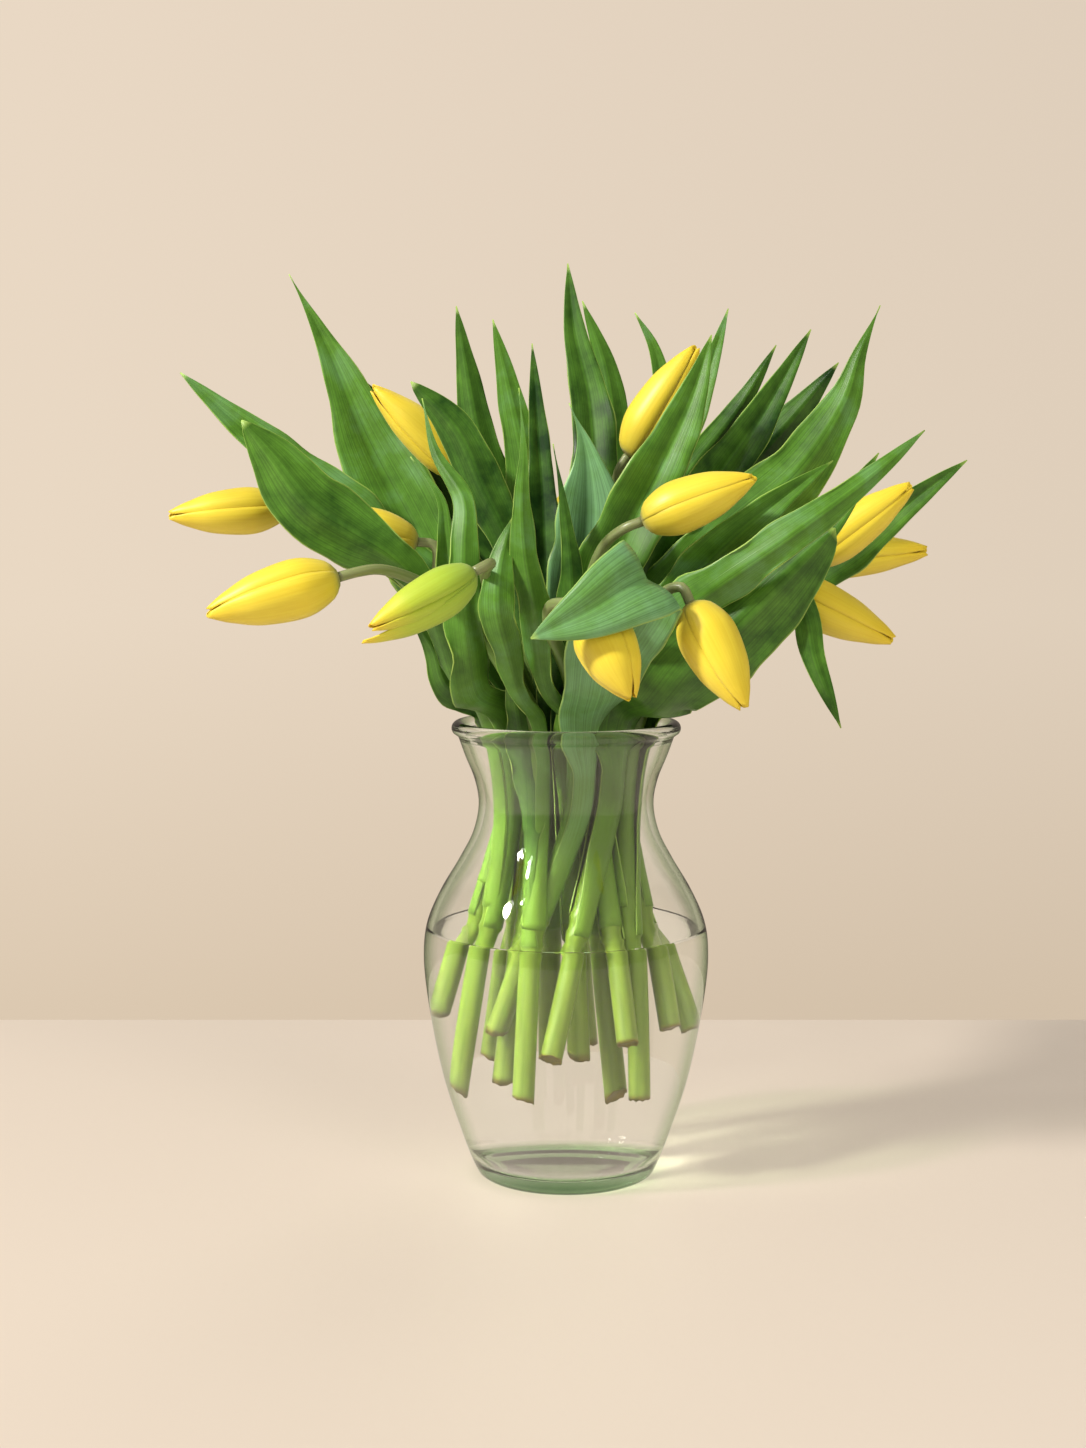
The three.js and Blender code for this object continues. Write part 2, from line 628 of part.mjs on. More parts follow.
function bloomSolid(tulip, grow) {
  const base = vector(tulip.bloom.base);
  const axis = budAxis(tulip);
  const length = base.distanceTo(vector(tulip.bloom.tip));
  const side = new THREE.Vector3(0, -1, 0).addScaledVector(axis, axis.y).normalize();
  const other = axis.clone().cross(side);
  const rings = BUD_STATIONS.map(({ along, radius, half }) => budColumns(half).map((column) => {
    const full = radius * tulip.bloom.radius;
    const reach = full - Math.min(column.inset, full * PETAL_DEPTH) + grow;
    const rise = along * column.reach * length + (along < BUD_MIDDLE ? -grow : grow);
    const angle = THREE.MathUtils.degToRad(column.angle);
    return base.clone()
      .addScaledVector(axis, rise)
      .addScaledVector(side, reach * Math.cos(angle))
      .addScaledVector(other, reach * Math.sin(angle));
  }));
  return loft(rings, true);
}

// ---- The bouquet, each piece trimmed clear of those set before it

function largestBody(solid) {
  return solid.decompose().reduce((best, body) => (body.volume() > best.volume() ? body : best));
}

const plants = TULIPS.map((tulip) => {
  const curve = stemCurve(tulip);
  return {
    tulip,
    curve,
    stem: stemSolid(curve, 0),
    wideStem: stemSolid(curve, CLEARANCE),
    bloom: bloomSolid(tulip, 0),
    wideBloom: bloomSolid(tulip, CLEARANCE),
    wideLeaves: [],
  };
});

for (const plant of plants) {
  plant.leafy = plant.stem;
  for (const leaf of plant.tulip.leaves) {
    let blade = leafSolid(leaf, plant.curve, 0);
    for (const other of plants) {
      blade = blade.subtract(other.wideBloom);
      if (other === plant) continue;
      blade = blade.subtract(other.wideStem);
      for (const wide of other.wideLeaves) blade = blade.subtract(wide);
    }
    plant.leafy = largestBody(plant.leafy.add(blade));
  }
  plant.wideLeaves = plant.tulip.leaves.map((leaf) => leafSolid(leaf, plant.curve, CLEARANCE));
}

let water = waterSolid();
for (const plant of plants) {
  water = water.subtract(plant.wideStem);
  for (const wide of plant.wideLeaves) water = water.subtract(wide);
}

const bouquet = new THREE.Group();

function addNode(name, solid, { colour, roughness }) {
  const material = new THREE.MeshStandardMaterial({ color: colour, roughness, metalness: 0 });
  const mesh = new THREE.Mesh(geometryFrom(solid), material);
  mesh.name = name;
  bouquet.add(mesh);
}

addNode("vase", vaseSolid(), GLASS);
addNode("water", largestBody(water), CLEAR_WATER);
for (const plant of plants) {
  addNode(plant.tulip.name + "_stem", plant.leafy, LEAF_SKIN);
  addNode(plant.tulip.name + "_bloom", plant.bloom, PETAL_SKIN);
}

export default bouquet;
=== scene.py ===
"""Fifteen yellow tulips in a clear flared glass vase, on a plain pale table.

The origin is the middle of the ring that the vase stands on, +Z is up and the front faces -Y.
Sizes are kept in millimetres, and each mesh turns them into metres as it is made.
"""

import sys
import logging
import math
import random
from dataclasses import dataclass, field, replace
from enum import Enum

import bmesh
import bpy
from bpy.types import Material, Node, NodeSocket, NodeTree
from mathutils import Matrix, Vector


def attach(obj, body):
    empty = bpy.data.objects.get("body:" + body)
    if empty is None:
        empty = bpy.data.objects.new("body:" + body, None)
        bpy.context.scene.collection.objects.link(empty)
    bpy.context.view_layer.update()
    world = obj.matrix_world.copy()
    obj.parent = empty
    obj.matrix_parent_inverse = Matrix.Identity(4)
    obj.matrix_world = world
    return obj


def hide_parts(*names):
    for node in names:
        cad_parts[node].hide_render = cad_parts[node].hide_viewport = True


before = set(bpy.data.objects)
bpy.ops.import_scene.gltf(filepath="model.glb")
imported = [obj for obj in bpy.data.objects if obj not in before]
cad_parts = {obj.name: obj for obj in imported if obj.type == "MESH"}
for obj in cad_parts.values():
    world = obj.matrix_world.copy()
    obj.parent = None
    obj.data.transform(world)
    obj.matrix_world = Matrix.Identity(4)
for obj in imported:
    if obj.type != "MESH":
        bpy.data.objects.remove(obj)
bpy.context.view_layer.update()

LOG = logging.getLogger("tulips")
Pair = tuple[float, float]
Point = tuple[float, float, float]
Stops = tuple[tuple[float, str], ...]
BMesh = bmesh.types.BMesh

MM = 0.001
BODY = "root"
TURN = 2 * math.pi
MERGE = 1e-4


# ---- Helpers


def to_linear(hex_colour: str) -> tuple[float, float, float, float]:
    """Turns an sRGB hex colour into linear red, green, blue and full alpha.

    Args:
        hex_colour: six hex digits, with or without a leading #.

    Returns:
        The four linear values that a shader socket takes.
    """
    digits = hex_colour.lstrip("#")
    channels = [int(digits[place:place + 2], 16) / 255 for place in (0, 2, 4)]
    linear = [c / 12.92 if c <= 0.04045 else ((c + 0.055) / 1.055) ** 2.4 for c in channels]
    return (*linear, 1.0)


def lerp(low: float, high: float, share: float) -> float:
    """Goes from low to high as share goes from 0 to 1."""
    return low + (high - low) * share


def smoothstep(value: float, start: float, end: float) -> float:
    """Rises smoothly from 0 at start to 1 at end."""
    share = min(max((value - start) / (end - start), 0.0), 1.0)
    return share * share * (3 - 2 * share)


def polar(radius: float, degrees: float, height: float) -> Vector:
    """Gives the point at a radius and an angle about the vase's axis."""
    angle = math.radians(degrees)
    return Vector((radius * math.cos(angle), radius * math.sin(angle), height))


def arc(centre: Pair, radius: float, start: float, end: float, steps: int) -> list[Pair]:
    """Gives an arc of a profile.

    Args:
        centre: its radius and height.
        radius: the arc's own radius.
        start: the angle where it starts, in degrees, with 0 outwards and 90 up.
        end: the angle where it ends.
        steps: how many steps it is cut into.

    Returns:
        Radii and heights.
    """
    x, y = centre
    angles = [math.radians(lerp(start, end, step / steps)) for step in range(steps + 1)]
    return [(x + radius * math.cos(angle), y + radius * math.sin(angle)) for angle in angles]


def add_node(
    tree: NodeTree,
    kind: str,
    inputs: dict[str | int, object] | None = None,
    stops: Stops = (),
    **settings: object,
) -> Node:
    """Adds one shader node with its settings, its values and its links.

    Args:
        tree: the node tree that takes the node.
        kind: the node's type, without the ShaderNode that every such name starts with.
        inputs: for each input's name or index, a value, or the output socket that feeds it. A map
            range has the two ends that it reads at 1 and 2, and the two that it gives at 3 and 4.
        stops: for a ramp, its places from 0 to 1, each with its sRGB hex colour.
        settings: the node's own properties.

    Returns:
        The new node.
    """
    node = tree.nodes.new("ShaderNode" + kind)
    for name, value in settings.items():
        setattr(node, name, value)
    for socket, value in (inputs or {}).items():
        if isinstance(value, NodeSocket):
            tree.links.new(value, node.inputs[socket])
        else:
            node.inputs[socket].default_value = value
    if stops:
        elements = node.color_ramp.elements
        while len(elements) < len(stops):
            elements.new(0.5)
        for element, (place, colour) in zip(elements, stops):
            element.position, element.color = place, to_linear(colour)
    return node


def make_piece(
    name: str,
    mesh_edit: BMesh,
    material: Material,
    replaced: str,
    thickness: float = 0.0,
) -> None:
    """Turns a bmesh in millimetres into a finished piece at the origin.

    Args:
        name: the piece's name.
        mesh_edit: its shape, which is freed.
        material: its finish.
        replaced: the CAD node that it stands for.
        thickness: in millimetres, for a thin sheet that needs two faces, or 0 for a solid.
    """
    bmesh.ops.scale(mesh_edit, vec=(MM, MM, MM), verts=mesh_edit.verts)
    mesh = bpy.data.meshes.new(name)
    mesh_edit.to_mesh(mesh)
    mesh_edit.free()
    mesh.shade_smooth()
    mesh.materials.append(material)
    piece = bpy.data.objects.new(name, mesh)
    bpy.context.scene.collection.objects.link(piece)
    if thickness:
        wall = piece.modifiers.new("wall", "SOLIDIFY")
        wall.thickness = thickness * MM
        wall.offset = 0
    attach(piece, BODY)
    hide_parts(replaced)
    LOG.info("%s: %d faces", name, len(mesh.polygons))


@dataclass
class Route:
    """A smooth line through points, measured along its length.

    It is a centripetal Catmull-Rom spline, the same curve that the solids of the frame follow.
    """

    points: list[Vector]
    divisions: int = 200
    rises: int = 120
    lengths: list[float] = field(init=False)

    def __post_init__(self) -> None:
        """Adds up the length at even steps of the spline."""
        self.lengths = [0.0]
        before = self.on_spline(0.0)
        for step in range(1, self.divisions + 1):
            here = self.on_spline(step / self.divisions)
            self.lengths.append(self.lengths[-1] + (here - before).length)
            before = here

    def on_spline(self, share: float) -> Vector:
        """Gives a point by the spline's own parameter.

        Args:
            share: 0 at the first point and 1 at the last.

        Returns:
            The point.
        """
        spans = len(self.points) - 1
        first = min(int(share * spans), spans - 1)
        weight = share * spans - first
        p1, p2 = self.points[first], self.points[first + 1]
        p0 = self.points[first - 1] if first > 0 else p1 * 2 - p2
        p3 = self.points[first + 2] if first + 2 <= spans else p2 * 2 - p1
        d0, d1, d2 = ((b - a).length ** 0.5 for a, b in ((p0, p1), (p1, p2), (p2, p3)))
        m1 = ((p1 - p0) / d0 - (p2 - p0) / (d0 + d1) + (p2 - p1) / d1) * d1
        m2 = ((p2 - p1) / d1 - (p3 - p1) / (d1 + d2) + (p3 - p2) / d2) * d1
        square = (p2 - p1) * 3 - m1 * 2 - m2
        cube = (p1 - p2) * 2 + m1 + m2
        return p1 + m1 * weight + square * weight ** 2 + cube * weight ** 3

    def at(self, along: float) -> Vector:
        """Gives a point by its share of the length.

        Args:
            along: 0 at the start and 1 at the end.

        Returns:
            The point.
        """
        target = along * self.lengths[-1]
        step = 1
        while step < self.divisions and self.lengths[step] < target:
            step += 1
        low, high = self.lengths[step - 1], self.lengths[step]
        return self.on_spline(min((step - 1 + (target - low) / (high - low)) / self.divisions, 1.0))

    def tangent(self, along: float, reach: float = 0.002) -> Vector:
        """Gives the direction at a share of the length."""
        return (self.at(min(along + reach, 1.0)) - self.at(max(along - reach, 0.0))).normalized()

    def at_height(self, height: float) -> Vector:
        """Finds where the route first comes up to a height.

        Args:
            height: the height, in millimetres.

        Returns:
            The point there, or the route's end where it never comes so high.
        """
        before = self.at(0.0)
        for step in range(1, self.rises + 1):
            here = self.at(step / self.rises)
            if here.z >= height:
                return before.lerp(here, (height - before.z) / (here.z - before.z))
            before = here
        return before


# ---- The flowers' places and shapes


class Tint(Enum):
    """How ripe a bud is, by its material slot."""

    YELLOW = "bud_petal"
    GREEN = "green_petal"


@dataclass(frozen=True)
class Leaf:
    """One leaf, in millimetres and degrees.

    It grows at the height node on the side of its stem, and above the vase it follows its path to its
    tip. It starts to open at the share opens of its length, is width wide at the share widest, and runs
    out faster to its point the more its taper is. In the vase it is held to the width sheath, and above
    it may open by flare for each millimetre of height. roll turns the blade about its length, curl is
    the angle that it bends through from edge to edge, and across is the direction of its width near the
    tip where it isn't broadside on. ruffle is how strongly its edges wave. tone is its own green: 0
    deep, 0.5 fresh and 1 bluish.
    """

    name: str
    node: float
    side: float
    width: float
    path: tuple[Point, ...]
    opens: float = 0.0
    widest: float = 0.55
    taper: float = 0.95
    flare: float = 0.3
    roll: float = 0.0
    curl: float = 84.0
    across: Point | None = None
    sheath: float = 15.0
    ruffle: float = 1.6
    tone: float | None = None


@dataclass(frozen=True)
class Bud:
    """A closed bud from its base to its tip, as wide as its radius and turned about its axis.

    open is how far its outer petals lift at the tip. stray is the tip of a seventh petal that has
    come loose from it.
    """

    base: Point
    tip: Point
    radius: float
    turn: float = 0.0
    open: float = 1.0
    tint: Tint = Tint.YELLOW
    stray: Point | None = None

    @property
    def axis(self) -> Vector:
        """The direction from the base to the tip."""
        return (Vector(self.tip) - Vector(self.base)).normalized()

    @property
    def length(self) -> float:
        """The length from the base to the tip."""
        return (Vector(self.tip) - Vector(self.base)).length


@dataclass(frozen=True)
class Tulip:
    """One tulip: its cut foot, where it passes the neck, its route above the rim, bud and leaves."""

    number: int
    foot: Point
    neck: Pair
    stem: tuple[Point, ...]
    bud: Bud
    leaves: tuple[Leaf, ...]

    @property
    def name(self) -> str:
        """The name that its nodes and pieces start with."""
        return f"tulip_{self.number:02d}"


TULIPS = (
    Tulip(
        1, foot=(-44, -12, 42), neck=(-25, -8.5),
        stem=((-46, -17, 230), (-62, -16, 257), (-92, -17, 283), (-108, -21, 292)),
        bud=Bud((-120, -24, 296), (-168, -34, 293), 9.8, turn=68), leaves=(
            Leaf("left_low", 122, 205, 33, tone=0.3, opens=0.6, widest=0.8, taper=0.9, roll=10, path=(
                (-49, -30, 224), (-54, -40, 242), (-61, -50, 263), (-73, -57, 277), (-89, -60, 287),
                (-105, -62, 298), (-121, -61, 318), (-133, -60, 332))),
            Leaf("twisted", 112, 315, 19, widest=0.5, taper=1.3, flare=0.6, path=(
                (-38, -44, 218), (-41, -53, 237), (-43, -55, 258), (-43, -53, 280), (-43, -48, 299),
                (-55, -38, 319), (-61, -30, 342))),
        ),
    ),
    Tulip(
        2, foot=(-50, 4, 73), neck=(-25, 8.2), stem=((-51, 14, 246), (-57, 14, 262)),
        bud=Bud((-66, 13, 281), (-126, 6, 293), 11, turn=60), leaves=(
            Leaf("left_high", 116, 165, 30, tone=0.6, roll=20, path=(
                (-54, 26, 246), (-80, 32, 275), (-113, 32, 306), (-146, 30, 333), (-172, 28, 356))),
            Leaf("rim_left", 130, 250, 18, flare=0.6, path=(
                (-53, -4, 219), (-58, -6, 234), (-67, -8, 248))),
            Leaf("tall_left", 104, 50, 41, tone=0.5, widest=0.62, taper=1.7, path=(
                (-50, 34, 254), (-70, 44, 290), (-90, 50, 327), (-107, 49, 367), (-125, 46, 401))),
        ),
    ),
    Tulip(
        3, foot=(-18, -40, 44), neck=(-11.5, -25),
        stem=((-22, -35, 222), (-35, -38, 242), (-49, -47, 257), (-62, -66, 267), (-76, -80, 272)),
        bud=Bud((-92, -86, 269), (-143, -98, 255), 12, turn=85), leaves=(
            Leaf("front_left", 116, 285, 16, opens=0.5, widest=0.78, taper=1.0, flare=0.1, path=(
                (-19, -46, 216), (-25, -56, 237), (-29, -64, 256), (-28, -62, 272), (-23, -54, 292))),
            Leaf("rim_front", 106, 215, 14, flare=0.1, path=((-22, -43, 217), (-24, -52, 236))),
        ),
    ),
    Tulip(
        4, foot=(-6, 6, 52), neck=(-7.3, 10), stem=((-20, 18, 237), (-27, 26, 273), (-34, 31, 294)),
        bud=Bud((-43, 32, 310), (-87, 28, 350), 10, turn=20), leaves=(
            Leaf("upper_left_under", 112, 160, 24, path=(
                (-21, 32, 254), (-39, 46, 290), (-67, 56, 322), (-101, 60, 361))),
            Leaf("upper_left_over", 104, 275, 21, opens=0.55, widest=0.8, taper=0.8, path=(
                (-20, 4, 256), (-27, 2, 285), (-36, 2, 304), (-48, 4, 330), (-68, 8, 351))),
            Leaf("centre_left_back", 120, 40, 16, path=(
                (-8, 10, 256), (-10, 12, 298), (-12, 14, 325), (-15, 16, 368))),
        ),
    ),
    Tulip(
        5, foot=(-25, -10, 46), neck=(-12, -4), stem=((-24, -18, 235), (-31, -38, 258), (-34, -62, 270)),
        bud=Bud((-38, -84, 271), (-78, -104, 250), 8.6, turn=35, tint=Tint.GREEN, stray=(-83, -98, 245)),
        leaves=(
            Leaf("centre_right", 112, 325, 17, widest=0.5, taper=1.6, path=(
                (-3, -23, 226), (0, -33, 246), (2, -37, 262), (-1, -38, 294), (-6, -36, 323))),
            Leaf("left_inner", 120, 155, 17, widest=0.5, taper=1.5, path=(
                (-37, -4, 236), (-50, -12, 262), (-52, -17, 284), (-54, -18, 300), (-67, -14, 318))),
        ),
    ),
    Tulip(
        6, foot=(-28, -18, 70), neck=(4, -26.5),
        stem=((1, -42, 226), (-7, -56, 246), (-7, -72, 257), (0, -82, 259)),
        bud=Bud((9, -88, 255), (25, -102, 221), 12.2, turn=15), leaves=(
            Leaf("folded", 118, 315, 38, tone=0.85, ruffle=0.5, widest=0.7, curl=25, flare=1.1,
                 across=(0.65, 0, -0.76), path=(
                (14, -54, 219), (18, -68, 240), (27, -86, 260), (30, -96, 268), (23, -104, 266),
                (8, -108, 257), (-15, -107.5, 246))),
            Leaf("front_centre", 108, 235, 15, tone=0.5, opens=0.42, widest=0.62, taper=1.9,
                 flare=0.1, path=(
                (-9, -46, 220), (-14, -56, 254), (-18, -62, 279), (-19, -64, 300), (-18, -64, 319),
                (-20, -60, 345))),
        ),
    ),
    Tulip(
        7, foot=(-6.5, -40.5, 62), neck=(16.5, -20), stem=((28, -46, 233), (33, -62, 252), (38, -73, 262)),
        bud=Bud((49, -82, 258), (70, -98, 217), 12, turn=82), leaves=(
            Leaf("broad_right", 112, 330, 45, widest=0.66, taper=0.6, flare=1.0, sheath=22, path=(
                (37, -45, 211), (52, -52, 229), (69, -57, 247), (86, -58, 264), (110, -56, 288))),
            Leaf("right_inner", 120, 110, 23, tone=0.5, widest=0.62, taper=1.1, path=(
                (20, -23, 228), (37, -30, 247), (52, -38, 266), (68, -42, 283), (90, -42, 301),
                (111, -38, 316))),
        ),
    ),
    Tulip(
        8, foot=(5, -22, 60), neck=(1.5, -11), stem=((6, -22, 235), (9, -30, 262), (15, -42, 280)),
        bud=Bud((31, -55, 291), (77, -62, 309), 11, turn=48), leaves=(
            Leaf("beside_bud", 122, 20, 32, path=(
                (14, -22, 248), (24, -29, 283), (40, -31, 316), (53, -26, 344), (61, -22, 369))),
            Leaf("curled", 104, 125, 35, tone=0.92, opens=0.4, widest=0.77, taper=2.3, path=(
                (3, -7, 252), (10, -7, 283), (10, -7, 308), (7, -8, 326), (1, -10, 341))),
            Leaf("right_long", 116, 275, 21, path=(
                (30, -37, 237), (57, -60, 261), (90, -70, 285), (123, -64, 309), (146, -56, 328))),
        ),
    ),
    Tulip(
        9, foot=(25, -38, 68), neck=(12, -4), stem=((15, -2, 240), (18, 1, 270), (21, 2, 298)),
        bud=Bud((27, -1, 319), (56, -8, 366), 10.8, turn=72), leaves=(
            Leaf("tall_right", 116, 300, 32, opens=0.3, widest=0.68, taper=1.6, path=(
                (38, -4, 250), (68, -2, 283), (101, 0, 312), (121, 5, 342), (128, 8, 363), (137, 10, 384))),
            Leaf("behind_bud", 106, 90, 22, path=(
                (20, 12, 262), (43, 20, 308), (62, 24, 353), (72, 26, 384))),
        ),
    ),
    Tulip(
        10, foot=(42, -15, 70), neck=(25.2, 8.2), stem=((45, 6, 224), (67, 2, 242), (87, -3, 254)),
        bud=Bud((105, -6, 273), (149, -10, 306), 9.8, turn=60, open=2.5), leaves=(
            Leaf("right_low_back", 120, 10, 26, path=(
                (59, 14, 234), (99, 13, 261), (130, 14, 281), (155, 14, 301), (177, 14, 317))),
            Leaf("upper_right", 108, 130, 28, path=(
                (41, 5, 262), (61, 13, 300), (88, 22, 339), (109, 28, 375))),
        ),
    ),
    Tulip(
        11, foot=(50, 0, 66), neck=(16, 22), stem=((40, 31, 230), (63, 34, 252), (84, 34, 266)),
        bud=Bud((104, 32, 273), (163, 28, 277), 10, turn=65, open=2.5), leaves=(
            Leaf("right_behind", 118, 340, 34, path=(
                (42, 33, 250), (70, 46, 299), (101, 52, 333), (125, 54, 362))),
            Leaf("back_right", 106, 90, 36, path=((44, 46, 226), (74, 70, 246), (114, 108, 262))),
        ),
    ),
    Tulip(
        12, foot=(30, -29, 42), neck=(26, -8.5), stem=((44, -18, 225), (60, -24, 246), (74, -28, 259)),
        bud=Bud((88, -30, 264), (139, -32, 240), 10.5, turn=52, open=2.5), leaves=(
            Leaf("right_second", 110, 20, 24, path=(
                (50, -28, 232), (78, -46, 264), (105, -50, 287), (129, -45, 319))),
            Leaf("drooping_tip", 122, 180, 12, widest=0.82, taper=1.1, path=(
                (46, -21, 232), (73, -38, 262), (90, -44, 265), (99, -47, 253), (103, -49, 234),
                (114, -52, 205))),
        ),
    ),
    Tulip(
        13, foot=(-28, 24, 50), neck=(-16, 22), stem=((-26, 44, 228), (-34, 66, 254)),
        bud=Bud((-38, 88, 268), (-46, 144, 262), 11), leaves=(
            Leaf("back_left", 112, 140, 38, path=((-42, 50, 232), (-62, 84, 276), (-92, 132, 322))),
            Leaf("tall_back_left", 104, 350, 26, path=(
                (-24, 42, 254), (-34, 54, 299), (-43, 59, 345), (-50, 60, 388))),
        ),
    ),
    Tulip(
        14, foot=(8, 32, 56), neck=(0, 26.8), stem=((2, 46, 236), (4, 70, 270)),
        bud=Bud((5, 94, 292), (8, 150, 296), 11.5), leaves=(
            Leaf("back_centre", 112, 60, 38, path=((16, 54, 236), (26, 92, 284), (36, 150, 334))),
            Leaf("behind_centre", 104, 300, 26, path=(
                (14, 42, 254), (23, 58, 309), (19, 65, 359), (8, 68, 391))),
            Leaf("back_inner", 120, 190, 24, path=(
                (-10, 38, 254), (-18, 44, 313), (-26, 46, 351), (-33, 48, 381))),
        ),
    ),
    Tulip(
        15, foot=(20, -13, 40), neck=(7.3, 10), stem=((20, 34, 238), (36, 52, 262)),
        bud=Bud((54, 66, 286), (92, 104, 300), 11), leaves=(
            Leaf("tall_centre", 112, 165, 26, path=(
                (9, 22, 255), (13, 33, 300), (11, 42, 345), (4, 46, 376), (1, 48, 406))),
            Leaf("behind_bud_left", 120, 60, 18, path=(
                (23, 25, 246), (32, 31, 275), (41, 36, 310), (44, 38, 344), (40, 38, 367), (31, 36, 383))),
            Leaf("upper_right_back", 104, 320, 22, path=(
                (27, 17, 262), (53, 28, 308), (79, 38, 342), (95, 41, 369))),
        ),
    ),
)


# ---- Finishes


@dataclass(frozen=True)
class Finish:
    """One real material, as Blender's nodes build it. Each kind adds the nodes of its own surface."""

    name: str

    def sockets(self, tree: NodeTree) -> dict[str, NodeSocket]:
        """Adds the nodes, and gives what feeds the output's Surface and Volume."""
        raise NotImplementedError

    def material(self) -> Material:
        """Builds the material.

        Returns:
            The material, under the finish's name.
        """
        material = bpy.data.materials.new(self.name)
        material.use_nodes = True
        tree = material.node_tree
        tree.nodes.clear()
        add_node(tree, "OutputMaterial", self.sockets(tree))
        return material


@dataclass(frozen=True)
class ClearBody(Finish):
    """What glass and water share: they bend what is seen, but let lamps shine straight through.

    So their shadow on the table stays pale, as the shadow of a full vase is. passed is the colour that
    a lamp's light takes on at each face, and absorbed the one that what is seen through it turns to, the
    sooner the more the density is.
    """

    index: float
    passed: str
    specular: float = 0.5
    absorbed: str = "#ffffff"
    density: float = 0.0

    def colour(self, tree: NodeTree) -> NodeSocket | tuple[float, ...]:
        """Gives the colour of the body, which is clear unless a kind has nodes for it."""
        return to_linear("#ffffff")

    def sockets(self, tree: NodeTree) -> dict[str, NodeSocket]:
        """Adds the clear body, and swaps it for a plain filter where a ray looks for a lamp.

        Args:
            tree: the material's node tree.

        Returns:
            What feeds the output's Surface, and its Volume where the body absorbs light.
        """
        body = add_node(tree, "BsdfPrincipled", {
            "Base Color": self.colour(tree),
            "Roughness": 0.0,
            "IOR": self.index,
            "Specular IOR Level": self.specular,
            "Transmission Weight": 1.0,
        })
        clear = add_node(tree, "BsdfTransparent", {"Color": to_linear(self.passed)})
        ray = add_node(tree, "LightPath")
        seen = {0: ray.outputs["Is Shadow Ray"], 1: body.outputs[0], 2: clear.outputs[0]}
        ends = {"Surface": add_node(tree, "MixShader", seen).outputs[0]}
        if self.density:
            inside = {"Color": to_linear(self.absorbed), "Density": self.density}
            ends["Volume"] = add_node(tree, "VolumeAbsorption", inside).outputs[0]
        return ends


@dataclass(frozen=True)
class ClearGlass(ClearBody):
    """Soda-lime glass, pressed in a mould and fire polished: clear, hard and smooth.

    It is green in the thick floor, because the light goes a long way in it there. At its outline, where the
    eye
    looks along it, it turns dark green: partly the glass's own green over the long way through it, and
    partly painted shade in place of the dark reflections at a glass edge. Heights are in millimetres.
    """

    name: str = "soda_lime_glass"
    index: float = 1.5
    passed: str = "#f7faf6"
    specular: float = 0.1
    absorbed: str = "#90c590"
    density: float = 14.0
    # The tint by slant to the eye: partly the glass's own green, and partly painted shade that darkens the
    # outline.
    outline_green_and_shade: Stops = (
        (0.0, "#ffffff"), (0.55, "#ffffff"), (0.73, "#b7d0ac"), (0.9, "#628a56"), (1.0, "#2d4f24"),
    )
    foot: str = "#84aa7e"
    foot_heights: Pair = (2.0, 9.0)

    def colour(self, tree: NodeTree) -> NodeSocket | tuple[float, ...]:
        """Tints the glass by how much it slants away from the eye, and at its foot.

        Args:
            tree: the material's node tree.

        Returns:
            The colour's socket.
        """
        slant = add_node(tree, "LayerWeight", {"Blend": 0.5})
        # Dark green at the outline: partly the glass's own green over a long path, and partly painted
        # shade.
        edge = add_node(tree, "ValToRGB", {0: slant.outputs["Facing"]}, self.outline_green_and_shade)
        coordinates = add_node(tree, "TexCoord")
        place = add_node(tree, "SeparateXYZ", {0: coordinates.outputs["Object"]})
        low, high = (height * MM for height in self.foot_heights)
        depth = add_node(tree, "MapRange", {0: place.outputs[2], 1: low, 2: high, 3: 1.0, 4: 0.0})
        tinted = add_node(tree, "Mix", {
            "Factor": depth.outputs[0], "A": edge.outputs[0], "B": to_linear(self.foot),
        }, data_type="RGBA")
        return tinted.outputs[2]


@dataclass(frozen=True)
class FreshWater(ClearBody):
    """Still tap water: as clear as the glass, with a lower index, so its surface shows as a line.

    The index is under the real 1.33, with which the stems would break too far apart at the surface.
    """

    name: str = "tap_water"
    index: float = 1.12
    passed: str = "#fbfdfa"


